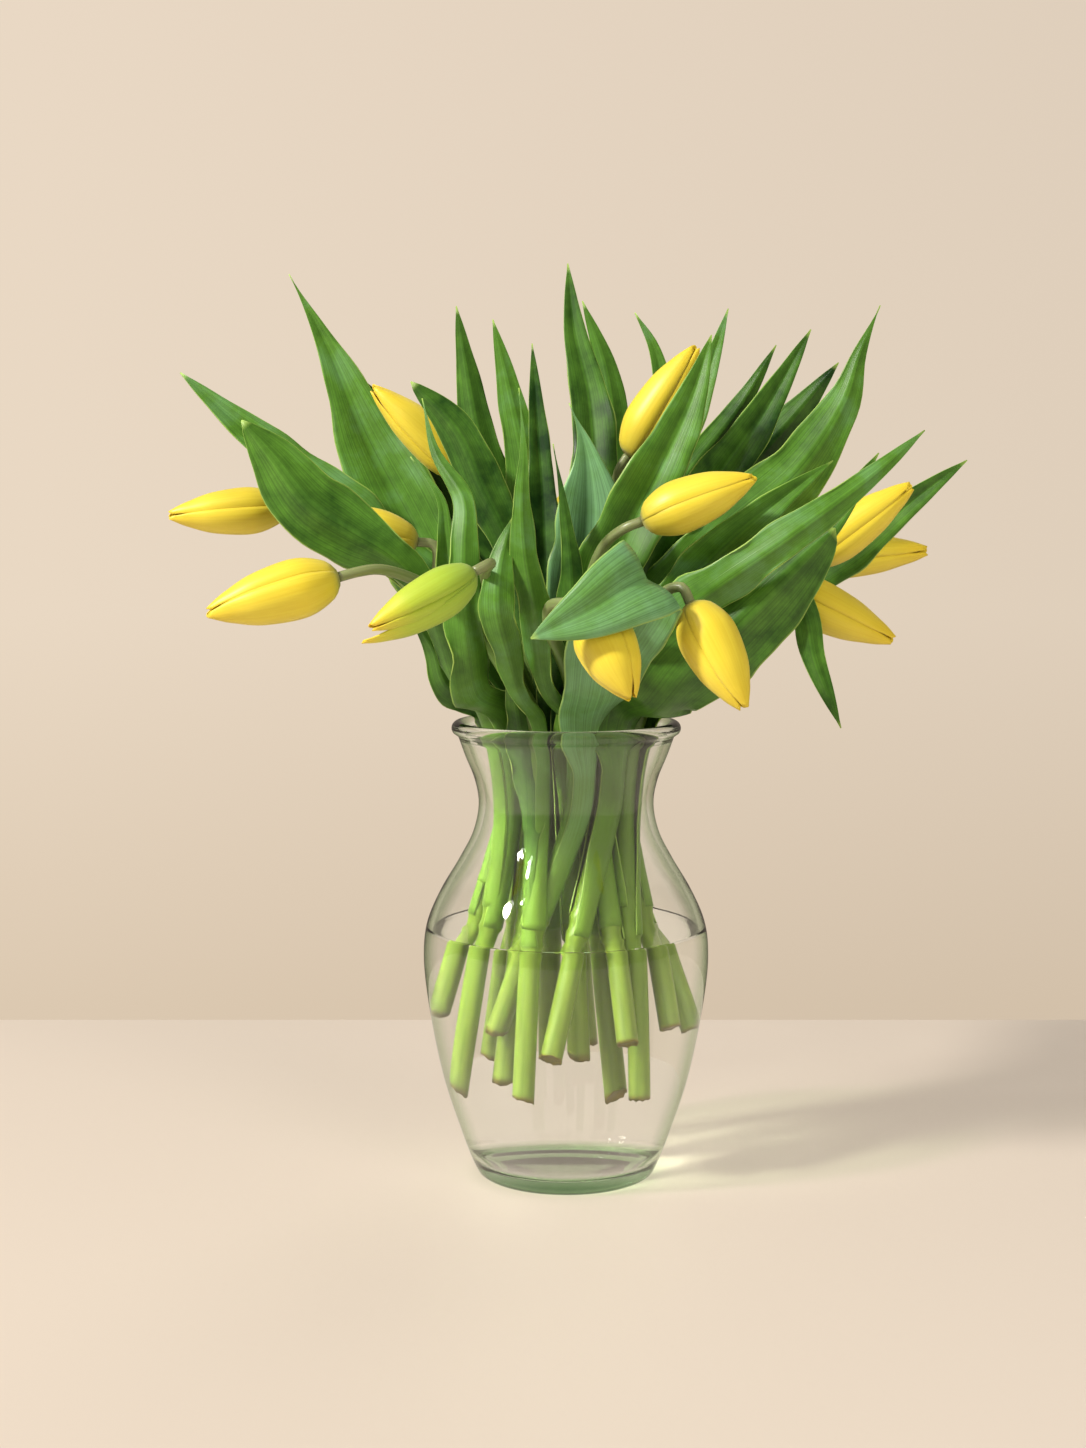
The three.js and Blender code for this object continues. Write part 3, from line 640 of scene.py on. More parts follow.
@dataclass(frozen=True)
class Skin(Finish):
    """What a leaf, a stem and a petal share: fine raised streaks that run along it, over its own colour.

    The UV map has U across the piece and V along it. streaks is how many noise cells lie across the
    piece and along it, shades is how they darken it and contrast how much. relief is how strongly they
    stand out. flesh is how much light goes into the skin and out again.
    """

    streaks: Pair
    shades: Stops
    contrast: float
    relief: float
    roughness: float
    detail: float = 2.0
    relief_depth: float = 0.3
    lengthwise: Stops = ()
    specular: float = 0.5
    flesh: float = 0.0
    flesh_radius: Point = (1.0, 0.8, 0.2)
    flesh_depth: float = 2.0
    sheen: float = 0.0
    sheen_tint: str = "#ffffff"

    def under(self, tree: NodeTree, uv: Node) -> NodeSocket:
        """Gives the colour under the streaks: a ramp along the piece."""
        return add_node(tree, "ValToRGB", {0: uv.outputs[1]}, self.lengthwise).outputs[0]

    def over(self, tree: NodeTree, uv: Node, colour: NodeSocket) -> NodeSocket:
        """Gives the colour with what lies over the streaks, which is nothing unless a kind has it."""
        return colour

    def sockets(self, tree: NodeTree) -> dict[str, NodeSocket]:
        """Adds the skin.

        Args:
            tree: the material's node tree.

        Returns:
            What feeds the output's Surface.
        """
        coordinates = add_node(tree, "TexCoord")
        uv = add_node(tree, "SeparateXYZ", {0: coordinates.outputs["UV"]})
        drawn = add_node(tree, "Mapping", {0: coordinates.outputs["UV"], "Scale": (*self.streaks, 1.0)})
        noise = add_node(tree, "TexNoise", {0: drawn.outputs[0], "Scale": 1.0, "Detail": self.detail})
        shade = add_node(tree, "ValToRGB", {0: noise.outputs[0]}, self.shades)
        streaked = add_node(tree, "Mix", {
            "Factor": self.contrast, "A": self.under(tree, uv), "B": shade.outputs[0],
        }, data_type="RGBA", blend_type="MULTIPLY")
        bump = add_node(tree, "Bump", {
            "Height": noise.outputs[0], "Strength": self.relief, "Distance": self.relief_depth * MM,
        })
        skin = add_node(tree, "BsdfPrincipled", {
            "Base Color": self.over(tree, uv, streaked.outputs[2]),
            "Roughness": self.roughness,
            "Specular IOR Level": self.specular,
            "Subsurface Weight": self.flesh,
            "Subsurface Radius": self.flesh_radius,
            "Subsurface Scale": self.flesh_depth * MM,
            "Sheen Weight": self.sheen,
            "Sheen Tint": to_linear(self.sheen_tint),
            "Normal": bump.outputs[0],
        })
        return {"Surface": skin.outputs[0]}


@dataclass(frozen=True)
class LeafSkin(Skin):
    """A tulip leaf's skin: smooth and waxy, with a faint bluish bloom over fine parallel veins.

    The veins stand about 0.7 mm apart. Each leaf has a tone of its own, blotched by patches some
    15 mm wide. The margin is a thin pale line, the very tip is yellowish, and the sheath low on the
    leaf is paler than the blade. The last three are given by where they start and where they are full.
    """

    name: str = "tulip_leaf_skin"
    streaks: Pair = (56.0, 1.6)
    shades: Stops = ((0.25, "#6c6c6c"), (0.5, "#bcbcbc"), (0.8, "#ffffff"))
    contrast: float = 0.65
    relief: float = 0.35
    roughness: float = 0.42
    specular: float = 0.4
    sheen: float = 0.02
    sheen_tint: str = "#cfe3d6"
    tones: Stops = ((0.0, "#0c3e02"), (0.5, "#629a30"), (1.0, "#84bd80"))
    patches: float = 60.0
    blotch: float = 0.22
    pale: str = "#a9c860"
    margin: Pair = (0.476, 0.5)
    tip: Pair = (0.985, 1.0)
    sheath: str = "#6d9028"
    sheath_share: Pair = (0.42, 0.06)

    def under(self, tree: NodeTree, uv: Node) -> NodeSocket:
        """Gives the leaf's own green, from deep through fresh to bluish, in soft blotches.

        Args:
            tree: the material's node tree.
            uv: the node with U and V apart; not used here.

        Returns:
            The colour's socket.
        """
        coordinates = add_node(tree, "TexCoord")
        noise = add_node(tree, "TexNoise", {
            "Vector": coordinates.outputs["Object"], "Scale": self.patches, "Detail": 5.0, "Roughness": 0.6,
        })
        blotches = add_node(tree, "MapRange", {
            0: noise.outputs[0], 1: 0.3, 2: 0.7, 3: -self.blotch, 4: self.blotch,
        })
        own = add_node(tree, "Attribute", attribute_name="tone")
        tone = add_node(tree, "Math", {0: own.outputs["Fac"], 1: blotches.outputs[0]}, operation="ADD")
        return add_node(tree, "ValToRGB", {0: tone.outputs[0]}, self.tones).outputs[0]

    def over(self, tree: NodeTree, uv: Node, colour: NodeSocket) -> NodeSocket:
        """Gives the colour with the pale sheath, margin and tip.

        Args:
            tree: the material's node tree.
            uv: the node with U and V apart.
            colour: the blade's colour.

        Returns:
            The finished colour's socket.
        """
        middle = add_node(tree, "Math", {0: uv.outputs[0], 1: 0.5}, operation="SUBTRACT")
        side = add_node(tree, "Math", {0: middle.outputs[0]}, operation="ABSOLUTE")
        margin, tip, sheath = (
            add_node(tree, "MapRange", {0: place, 1: span[0], 2: span[1], 4: most}).outputs[0]
            for place, span, most in (
                (side.outputs[0], self.margin, 0.8), (uv.outputs[1], self.tip, 0.9),
                (uv.outputs[1], self.sheath_share, 0.85),
            )
        )
        pale = add_node(tree, "Math", {0: margin, 1: tip}, operation="MAXIMUM")
        for factor, tint in ((sheath, self.sheath), (pale.outputs[0], self.pale)):
            both = {"Factor": factor, "A": colour, "B": to_linear(tint)}
            colour = add_node(tree, "Mix", both, data_type="RGBA").outputs[2]
        return colour


@dataclass(frozen=True)
class StemSkin(Skin):
    """A tulip stem's skin: smooth and juicy, lime green in the water, grey-olive under the bud.

    Its cut foot is brownish.
    """

    name: str = "tulip_stem_skin"
    streaks: Pair = (9.0, 5.0)
    shades: Stops = ((0.3, "#c4cfae"), (0.65, "#ffffff"))
    contrast: float = 0.8
    relief: float = 0.25
    roughness: float = 0.38
    detail: float = 3.0
    lengthwise: Stops = (
        (0.0, "#8e7434"), (0.008, "#84983a"), (0.25, "#749226"), (0.5, "#5f8424"), (0.75, "#6e8a45"),
        (1.0, "#8f9468"),
    )
    flesh: float = 0.15
    flesh_radius: Point = (0.5, 1.0, 0.2)


@dataclass(frozen=True)
class PetalSkin(Skin):
    """A tulip petal: a satin skin over thin flesh that lets some light through.

    Very fine veins run along it, about 0.5 mm apart.
    """

    streaks: Pair = (26.0, 1.5)
    shades: Stops = ((0.3, "#f6efc4"), (0.6, "#ffffff"))
    contrast: float = 0.6
    relief: float = 0.2
    roughness: float = 0.45
    flesh: float = 0.12
    sheen: float = 0.1


# A ripe petal is greener at its base. An unripe one is all green but for its yellow tip.
PETALS = {
    Tint.YELLOW: PetalSkin("tulip_bud_petal", lengthwise=(
        (0.0, "#b2ae4c"), (0.07, "#d8c43a"), (0.3, "#e8d038"), (0.7, "#ead23e"), (1.0, "#e4c830"),
    )),
    Tint.GREEN: PetalSkin("tulip_green_petal", lengthwise=(
        (0.0, "#8fae45"), (0.3, "#a3c03c"), (0.65, "#b4c83c"), (0.88, "#d6cf3a"), (1.0, "#f0cf3a"),
    )),
}


@dataclass(frozen=True)
class PaintedBoard(Finish):
    """A board with matt paint, whose grain, some 4 mm coarse so that it shows, breaks up the gloss.

    It glows a little, in place of the light that a pale room throws back on it from all round.
    """

    name: str = "matt_painted_board"
    colour: str = "#a99e92"
    glow: str = "#ebdcca"
    glow_strength: float = 0.36
    roughness: float = 0.55
    grain: float = 240.0
    relief_depth: float = 0.2

    def sockets(self, tree: NodeTree) -> dict[str, NodeSocket]:
        """Adds the paint.

        Args:
            tree: the material's node tree.

        Returns:
            What feeds the output's Surface.
        """
        coordinates = add_node(tree, "TexCoord")
        noise = add_node(tree, "TexNoise", {
            "Vector": coordinates.outputs["Object"], "Scale": self.grain, "Detail": 3.0,
        })
        bump = add_node(tree, "Bump", {
            "Height": noise.outputs[0], "Strength": 0.08, "Distance": self.relief_depth * MM,
        })
        paint = add_node(tree, "BsdfPrincipled", {
            "Base Color": to_linear(self.colour), "Roughness": self.roughness, "Normal": bump.outputs[0],
            "Emission Color": to_linear(self.glow), "Emission Strength": self.glow_strength,
        })
        return {"Surface": paint.outputs[0]}


# ---- Glass and water


@dataclass
class Vase:
    """A flared glass vase 203 mm tall, spun about Z, in millimetres.

    Its underside is a little hollow, and it stands on the ring between 33 and 36 mm. The meniscus is
    how far the water's surface lies below its edge at each distance from the glass.
    """

    wall: float = 3.0
    floor_thickness: float = 7.0
    floor_fillet: float = 3.0
    bead_radius: float = 3.1
    bead_centre: Pair = (47.4, 199.9)
    bead_from: float = -40.0
    water_level: float = 111.5
    water_overlap: float = 0.12
    meniscus: tuple[Pair, ...] = ((0.0, 0.0), (0.5, 0.576), (1.4, 0.864), (3.0, 0.96))
    turns: int = 128
    underside: tuple[Pair, ...] = (
        (0.0, 1.2), (20.0, 1.0), (30.0, 0.5), (33.0, 0.0), (36.0, 0.0), (38.2, 0.4),
    )
    outline: tuple[Pair, ...] = (
        (39.6, 1.5), (42.2, 7.0), (47.6, 21.8), (54.6, 43.8), (60.5, 73.0), (63.2, 98.0), (61.7, 113.0),
        (55.7, 127.3), (47.2, 141.7), (41.0, 154.0), (38.6, 166.7), (40.4, 177.4), (44.6, 188.0),
        (47.6, 196.4),
    )

    def wall_points(self, steps: int = 90) -> list[Pair]:
        """Gives the smooth outside of the wall.

        Args:
            steps: how many steps it is cut into.

        Returns:
            Radii and heights.
        """
        route = Route([Vector((radius, 0.0, height)) for radius, height in self.outline])
        points = [route.at(step / steps) for step in range(steps + 1)]
        return [(point.x, point.z) for point in points]

    def spun(self, profile: list[Pair]) -> BMesh:
        """Spins a profile that starts and ends on the axis.

        Args:
            profile: radii and heights, in order.

        Returns:
            The closed shape.
        """
        shape = bmesh.new()
        verts = [shape.verts.new((radius, 0.0, height)) for radius, height in profile]
        edges = [shape.edges.new(pair) for pair in zip(verts, verts[1:])]
        bmesh.ops.spin(
            shape, geom=verts + edges, cent=(0, 0, 0), axis=(0, 0, 1), angle=TURN, steps=self.turns,
            use_merge=True,
        )
        bmesh.ops.remove_doubles(shape, verts=shape.verts, dist=MERGE)
        bmesh.ops.recalc_face_normals(shape, faces=shape.faces)
        return shape

    def inside(self, overlap: float, top: float) -> list[Pair]:
        """Gives the inside of the wall from the floor's middle up to a height.

        Args:
            overlap: how far to reach into the glass.
            top: the height to stop at.

        Returns:
            Radii and heights.
        """
        floor, reach = self.floor_thickness - overlap, self.wall - overlap
        low = self.floor_thickness + self.floor_fillet
        side = [(radius - reach, height) for radius, height in self.wall_points() if low < height < top]
        centre = (side[0][0] - self.floor_fillet, floor + self.floor_fillet)
        return [(0.0, floor), *arc(centre, self.floor_fillet, -90, 0, 6), *side]

    def build(self, finish: ClearGlass) -> None:
        """Builds the glass.

        Args:
            finish: the glass's material.
        """
        bead = arc(self.bead_centre, self.bead_radius, self.bead_from, 180, 16)
        inside = self.inside(0.0, self.bead_centre[1] - self.bead_radius)[::-1]
        shape = self.spun([*self.underside, *self.wall_points(), *bead, *inside])
        make_piece("vase_glass_body", shape, finish.material(), "vase")

    def build_water(self, finish: FreshWater) -> None:
        """Builds the water, a hair into the glass so that no air shows between the two.

        Args:
            finish: the water's material.
        """
        level = self.water_level
        side = self.inside(self.water_overlap, level)
        glass = next(radius for radius, height in self.wall_points() if height > level) - self.wall
        edge = glass + self.water_overlap
        surface = [(edge - away, level - down) for away, down in self.meniscus]
        shape = self.spun([*side, *surface, (0.0, level - self.meniscus[-1][1])])
        make_piece("vase_water", shape, finish.material(), "water")


# ---- Stems, leaves and buds


def add_grid(shape: BMesh, rows: int, columns: int) -> list[bmesh.types.BMVert]:
    """Adds a flat grid with UVs, to be bent: X from -0.5 to 0.5 across it, Y the same along it.

    Args:
        shape: the bmesh that takes it.
        rows: how many faces it has along it.
        columns: how many faces it has across it.

    Returns:
        The grid's vertices.
    """
    if not shape.loops.layers.uv:
        shape.loops.layers.uv.new("UVMap")
    made = bmesh.ops.create_grid(shape, x_segments=columns, y_segments=rows, size=0.5, calc_uvs=True)
    return made["verts"]


@dataclass
class Stalk:
    """One stem, from its cut foot to the base of its bud.

    It thins from its foot to the neck of the vase and on to the bud, and swells where a leaf grows.
    """

    tulip: Tulip
    neck_height: float = 167.0
    mouth_height: float = 205.0
    mouth_spread: float = 1.2
    collar: float = 8.0
    sunk: float = 0.6
    foot_radius: float = 4.8
    neck_radius: float = 4.2
    bloom_radius: float = 2.1
    rows: int = 110
    sides: int = 20
    joint_swell: float = 0.9
    joint_height: float = 2.2
    cut_unevenness: float = 0.5
    cut_rim: float = 0.9
    cut_depth: float = 0.4
    route: Route = field(init=False)

    def __post_init__(self) -> None:
        """Lays the stem's route through the vase and up to the bud."""
        foot = Vector(self.tulip.foot)
        neck = Vector((*self.tulip.neck, self.neck_height))
        mouth = Vector((*(self.mouth_spread * place for place in self.tulip.neck), self.mouth_height))
        base, axis = Vector(self.tulip.bud.base), self.tulip.bud.axis
        self.route = Route([
            foot, foot.lerp(neck, 0.5), neck, mouth, *(Vector(point) for point in self.tulip.stem),
            base - axis * self.collar, base + axis * self.sunk,
        ])

    def radius(self, height: float, along: float) -> float:
        """Gives how thick the stem is.

        Args:
            height: the height there, in millimetres.
            along: the share of the stem's length.

        Returns:
            The radius there, in millimetres.
        """
        if height >= self.neck_height:
            return lerp(self.neck_radius, self.bloom_radius, smoothstep(along, 0.5, 1))
        joints = [leaf.node for leaf in self.tulip.leaves]
        swell = sum(math.exp(-((height - joint) / self.joint_height) ** 2) for joint in joints)
        plain = lerp(self.foot_radius, self.neck_radius, height / self.neck_height)
        return plain + self.joint_swell * min(swell, 1.0)

    def build(self, material: Material) -> None:
        """Rolls a grid into a tube along the route, with a slanting ragged cut at its foot.

        Args:
            material: the stem's skin.
        """
        draw = random.Random(self.tulip.number)
        most = self.cut_unevenness
        slant = Vector((draw.uniform(-most, most), draw.uniform(-most, most), 0.0))
        rough = [draw.uniform(-most, most) for _ in range(self.sides)]
        rings = []
        side = Vector((1.0, 0.0, 0.0))
        for row in range(self.rows + 1):
            along = row / self.rows
            tangent = self.route.tangent(along)
            other = tangent.cross(side).normalized()
            side = other.cross(tangent).normalized()
            rings.append((self.route.at(along), tangent, side.copy(), other))
        shape = bmesh.new()
        for vert in add_grid(shape, self.rows, self.sides):
            row = round((vert.co.y + 0.5) * self.rows)
            corner = round((vert.co.x + 0.5) * self.sides) % self.sides
            centre, tangent, across, other = rings[row]
            angle = TURN * corner / self.sides
            outward = across * math.cos(angle) + other * math.sin(angle)
            reach = outward * self.radius(centre.z, row / self.rows)
            vert.co = centre + reach
            if row == 0:
                vert.co += tangent * (reach.dot(slant) + rough[corner])
        bmesh.ops.remove_doubles(shape, verts=shape.verts, dist=MERGE)
        bmesh.ops.holes_fill(shape, edges=[edge for edge in shape.edges if edge.is_boundary], sides=0)
        caps = [face for face in shape.faces if len(face.verts) > 4]
        bmesh.ops.inset_region(shape, faces=caps, thickness=self.cut_rim, depth=-self.cut_depth)
        bmesh.ops.recalc_face_normals(shape, faces=shape.faces)
        name = self.tulip.name
        make_piece(f"{name}_stalk", shape, material, f"{name}_stem")


@dataclass(frozen=True)
class Station:
    """One row of a blade: its share of the length, its middle, its directions and its section.

    formed is 1 where the blade is wide enough to hold a form, and 0 where it ends as a flat strip.
    """

    along: float
    centre: Vector
    across: Vector
    inward: Vector
    width: float
    curl: float
    formed: float


@dataclass
class Blade:
    """One leaf on its stem: a sheath round the stem that opens into a long wavy blade.

    A Pair says between which shares of the length something sets in. Each ripple of the margin is its
    height, as a part of the leaf's ruffle, its count along the leaf and how it slants across it.
    """

    leaf: Leaf
    stalk: Stalk
    rows: int = 72
    columns: int = 14
    thickness: float = 0.6
    tip_width: float = 0.5
    base_width: float = 0.4
    clasp_width: float = 15.0
    clasp_curl: float = 165.0
    clasp_length: float = 0.16
    sheath_curl: float = 115.0
    uncurls: Pair = (0.2, 0.6)
    turns_out: Pair = (0.3, 0.75)
    flare_from: float = 185.0
    offsets: tuple[float, float, float, float] = (5.2, 5.5, 6.0, 8.0)
    waves: float = 2.5
    waves_set_in: Pair = (0.35, 0.6)
    ripples: tuple[Point, ...] = ((3.0, 6.0, 2.0), (1.0, 13.0, -3.0))
    ripples_set_in: Pair = (0.3, 0.5)
    ripple_width: float = 20.0
    ripple_sway: float = 0.7
    keel: float = 0.34
    keel_sets_in: Pair = (0.3, 0.7)
    crease: float = 0.08
    flat_under: float = 9.0
    tones: Pair = (0.12, 0.6)
    way: int = field(init=False, default=0)
    turned: float = field(init=False, default=0.0)
    route: Route = field(init=False)

    def __post_init__(self) -> None:
        """Lays the leaf's route up beside its stem and out to its tip."""
        leaf, stem = self.leaf, self.stalk.route
        side = polar(1.0, leaf.side, 0.0)
        neck, mouth = self.stalk.neck_height, self.stalk.mouth_height
        heights = (leaf.node, (leaf.node + neck) / 2, neck, mouth)
        beside = [stem.at_height(height) + side * reach for height, reach in zip(heights, self.offsets)]
        self.route = Route([*beside, *(Vector(point) for point in leaf.path)])

    def width(self, along: float, height: float) -> float:
        """Gives how wide the blade is: it rises to its most at widest and then runs out to a point.

        Args:
            along: the share of the leaf's length.
            height: the height there, in millimetres.

        Returns:
            The width there, in millimetres.
        """
        leaf = self.leaf
        if along < leaf.widest:
            shape = lerp(self.base_width, 1, smoothstep(along, leaf.opens, leaf.widest))
        else:
            past = (along - leaf.widest) / (1 - leaf.widest)
            shape = (1 - past) ** leaf.taper * (1 + leaf.taper * past)
        room = leaf.sheath + leaf.flare * max(height - self.flare_from, 0)
        held = max(min(leaf.width * shape, room), self.tip_width)
        return lerp(self.clasp_width, held, smoothstep(along, 0, self.clasp_length))

    def across(self, along: float, tangent: Vector) -> Vector:
        """Gives the direction of the width, turning evenly from the sheath's to the blade's.

        It is asked for row after row, and keeps to the way round that the row before it took.

        Args:
            along: the share of the leaf's length.
            tangent: the direction of its length there.

        Returns:
            The direction of the width.
        """
        leaf = self.leaf
        start = polar(1.0, leaf.side + 90, 0.0)
        start = (start - tangent * start.dot(tangent)).normalized()
        target = Vector(leaf.across) if leaf.across else tangent.cross(Vector((0.0, 1.0, 0.0)))
        target = (target - tangent * target.dot(tangent)).normalized()
        target = Matrix.Rotation(math.radians(leaf.roll), 3, tangent) @ target
        if self.way == 0:
            self.way = 1 if target.dot(start) > 0 else -1
        target *= self.way
        angle = math.atan2(tangent.dot(start.cross(target)), start.dot(target))
        angle += TURN * round((self.turned - angle) / TURN)
        self.turned = angle
        return Matrix.Rotation(angle * smoothstep(along, *self.turns_out), 3, tangent) @ start

    def station(self, along: float) -> Station:
        """Works out one row of the blade.

        Args:
            along: the share of the leaf's length.

        Returns:
            The row.
        """
        tangent, centre = self.route.tangent(along), self.route.at(along)
        across = self.across(along, tangent)
        curl = lerp(self.sheath_curl, self.leaf.curl, smoothstep(along, *self.uncurls))
        curl = lerp(self.clasp_curl, curl, smoothstep(along, 0, self.clasp_length))
        width = self.width(along, centre.z)
        formed = smoothstep(width, 0, self.flat_under)
        return Station(along, centre, across, tangent.cross(across), width, max(curl * formed, 1), formed)

    def bent(self, row: Station, place: float, phases: list[float]) -> Vector:
        """Gives one point of the blade, with its curl, its waves, its rippled margin and its keel.

        Args:
            row: the row that the point lies in.
            place: -1 at one margin and 1 at the other.
            phases: where each ripple starts.

        Returns:
            The point.
        """
        leaf, along = self.leaf, row.along
        spread = math.radians(row.curl) / 2
        bend = row.width / (2 * spread)
        height = leaf.ruffle * smoothstep(along, *self.waves_set_in) * (1 - along)
        wave = height * place * math.sin(TURN * self.waves * along + leaf.node + place) * row.formed
        edge = abs(place) ** 3 * smoothstep(along, *self.ripples_set_in) * (1 - along)
        edge *= min(row.width / self.ripple_width, 1)
        ripple = leaf.ruffle * edge * sum(
            part * math.sin(TURN * count * along + phase + slant * place)
            for (part, count, slant), phase in zip(self.ripples, phases)
        )
        crease = math.hypot(place, self.crease) - math.hypot(1, self.crease)
        fold = self.keel * row.width * (place * place - 1 - crease)
        fold *= smoothstep(along, *self.keel_sets_in) * row.formed
        turn = place * spread
        outward = bend * math.sin(turn) + self.ripple_sway * place * ripple
        inward = bend * (1 - math.cos(turn)) + (wave + ripple) - fold
        return row.centre + row.across * outward + row.inward * inward

    def build(self, material: Material) -> None:
        """Bends a grid into the leaf's form and gives it its tone and its thickness.

        Args:
            material: the leaf's skin.
        """
        leaf = self.leaf
        draw = random.Random(leaf.name)
        phases = [draw.uniform(0, 6) for _ in self.ripples]
        own = draw.uniform(*self.tones) if leaf.tone is None else leaf.tone
        # The first call settles which way round the blade's width points, from half way along.
        self.across(0.5, self.route.tangent(0.5))
        stations = [self.station(row / self.rows) for row in range(self.rows + 1)]
        shape = bmesh.new()
        tone = shape.verts.layers.float.new("tone")
        for vert in add_grid(shape, self.rows, self.columns):
            vert[tone] = own
            vert.co = self.bent(stations[round((vert.co.y + 0.5) * self.rows)], 2 * vert.co.x, phases)
        tulip = self.stalk.tulip.name
        name = f"{tulip}_leaf_{leaf.name}"
        make_piece(name, shape, material, f"{tulip}_stem", self.thickness)


@dataclass
class Bloom:
    """A closed bud: three outer petals lie over three inner ones.

    Each of its stations is a share of its length, its radius there as a part of its full radius, and
    the half angle that a petal covers. An outer petal has a groove down its back, its sides fall into
    the valleys between petals, and one of its edges stands proud by the overlap. Groove and valley fade
    out before the tip, the sooner the more fades is. The corners of each petal's tip drop away.
    """

    tulip: Tulip
    inner_step: float = 0.8
    inner_half: float = 56.0
    inner_reach: float = 0.95
    groove: float = 0.2
    groove_width: float = 0.16
    valley: float = 0.9
    valley_from: float = 0.72
    overlap: float = 0.2
    overlap_from: float = 0.6
    outer_lift: float = 0.25
    lift_from: float = 0.75
    corner_turn: float = 1.2
    corner_drop: float = 2.2
    corner_from: float = 0.6
    fades: float = 1.1
    uneven_turn: float = 3.0
    uneven_reach: float = 0.03
    uneven_lift: float = 0.1
    stray_width: float = 1.3
    stray_turn: float = -90.0
    thickness: float = 0.4
    rows: int = 30
    columns: int = 16
    stations: tuple[Point, ...] = (
        (0.0, 0.26, 64), (0.08, 0.68, 64), (0.3, 1.0, 64), (0.6, 0.88, 64), (0.85, 0.5, 62),
        (1.0, 0.14, 50),
    )
    profile: list[Pair] = field(init=False)

    def __post_init__(self) -> None:
        """Works out the radius and a petal's half angle for each row, closing in on its place by halves."""
        scale, halvings = 60, 18
        route = Route([Vector((place, radius, half / scale)) for place, radius, half in self.stations])
        self.profile = []
        for row in range(self.rows + 1):
            low, high = 0.0, 1.0
            for _ in range(halvings):
                middle = (low + high) / 2
                if route.on_spline(middle).x < row / self.rows:
                    low = middle
                else:
                    high = middle
            point = route.on_spline(low)
            self.profile.append((point.y, point.z * scale))

    def petal(self, shape: BMesh, bud: Bud, number: int, draw: random.Random) -> None:
        """Adds one petal to the bud.

        Args:
            shape: the bud so far.
            bud: the bud that the petal follows.
            number: 0 to 5; the even ones are the outer petals.
            draw: the bud's own random numbers.
        """
        axis = bud.axis
        side = Vector((0.0, -1.0, 0.0))
        side = (side - axis * side.dot(axis)).normalized()
        other = axis.cross(side)
        outer = number % 2 == 0
        middle = math.radians(bud.turn + 60 * number + draw.uniform(-self.uneven_turn, self.uneven_turn))
        reach = (1.0 if outer else self.inner_reach) - draw.uniform(0, self.uneven_reach)
        lift = draw.uniform(-self.uneven_lift, self.uneven_lift)
        lift += self.outer_lift * bud.open if outer else 0
        for vert in add_grid(shape, self.rows, self.columns):
            row = round((vert.co.y + 0.5) * self.rows)
            share, place = row / self.rows, 2 * vert.co.x
            radius, half = self.profile[row]
            fullness = math.sin(math.pi * min(share * self.fades, 1))
            full = radius * bud.radius
            if outer:
                full -= self.groove * math.exp(-(place / self.groove_width) ** 2) * fullness
                full -= self.valley * smoothstep(abs(place), self.valley_from, 1.0) * fullness
                full += self.overlap * place * smoothstep(abs(place), self.overlap_from, 1.0)
            else:
                full -= min(self.inner_step + self.valley * fullness, full / 2)
                half = min(half, self.inner_half)
            full += lift * smoothstep(share, self.lift_from, 1.0)
            angle = middle + place * math.radians(half)
            drop = (1 - math.cos(place * self.corner_turn)) * self.corner_drop
            rise = share * reach * bud.length - drop * smoothstep(share, self.corner_from, 1)
            vert.co = (Vector(bud.base) + axis * rise
                       + side * full * math.cos(angle) + other * full * math.sin(angle))

    def build(self, material: Material) -> None:
        """Builds the six petals, and the stray one where there is one, as one piece.

        Args:
            material: the petal's skin.
        """
        draw = random.Random(100 + self.tulip.number)
        shape = bmesh.new()
        bud, name = self.tulip.bud, self.tulip.name
        for number in range(6):
            self.petal(shape, bud, number, draw)
        if bud.stray:
            stray = replace(bud, tip=bud.stray, turn=self.stray_turn, radius=self.stray_width * bud.radius)
            self.petal(shape, stray, 0, draw)
        bmesh.ops.recalc_face_normals(shape, faces=shape.faces)
        make_piece(f"{name}_petals", shape, material, f"{name}_bloom", self.thickness)


@dataclass
class Bouquet:
    """All the tulips, each with its stem, leaves and bud."""

    tulips: tuple[Tulip, ...] = TULIPS

    def build(self) -> None:
        """Builds every tulip with shared finishes."""
        stem_skin, leaf_skin = StemSkin().material(), LeafSkin().material()
        petal_skins = {tint: finish.material() for tint, finish in PETALS.items()}
        for tulip in self.tulips:
            stalk = Stalk(tulip)
            stalk.build(stem_skin)
            for leaf in tulip.leaves:
                Blade(leaf, stalk).build(leaf_skin)
            Bloom(tulip).build(petal_skins[tulip.bud.tint])


# ---- Table, light and camera


@dataclass(frozen=True)
class Lamp:
    """One round soft lamp that faces the bouquet, in metres and watts.

    glints is whether it is seen mirrored in the glass, or only lights the flowers.
    """

    name: str
    place: Point
    width: float
    power: float
    colour: str = "#ffffff"
    glints: bool = True


# The key light stands at the left and front, with weak fills at the right and behind.
LAMPS = (
    Lamp("key", (-1.9, -1.0, 1.75), 0.3, 90.0, "#fffaf2"),
    Lamp("fill", (1.4, -1.9, 1.2), 1.2, 26.0, "#fffaf4", glints=False),
    Lamp("back", (0.9, 1.9, 1.3), 1.2, 16.0, "#fffaf4", glints=False),
    Lamp("glint_high", (-0.75, -0.9, 1.75), 0.07, 2.0),
    Lamp("glint_low", (-0.95, -0.8, 1.3), 0.07, 2.0),
)


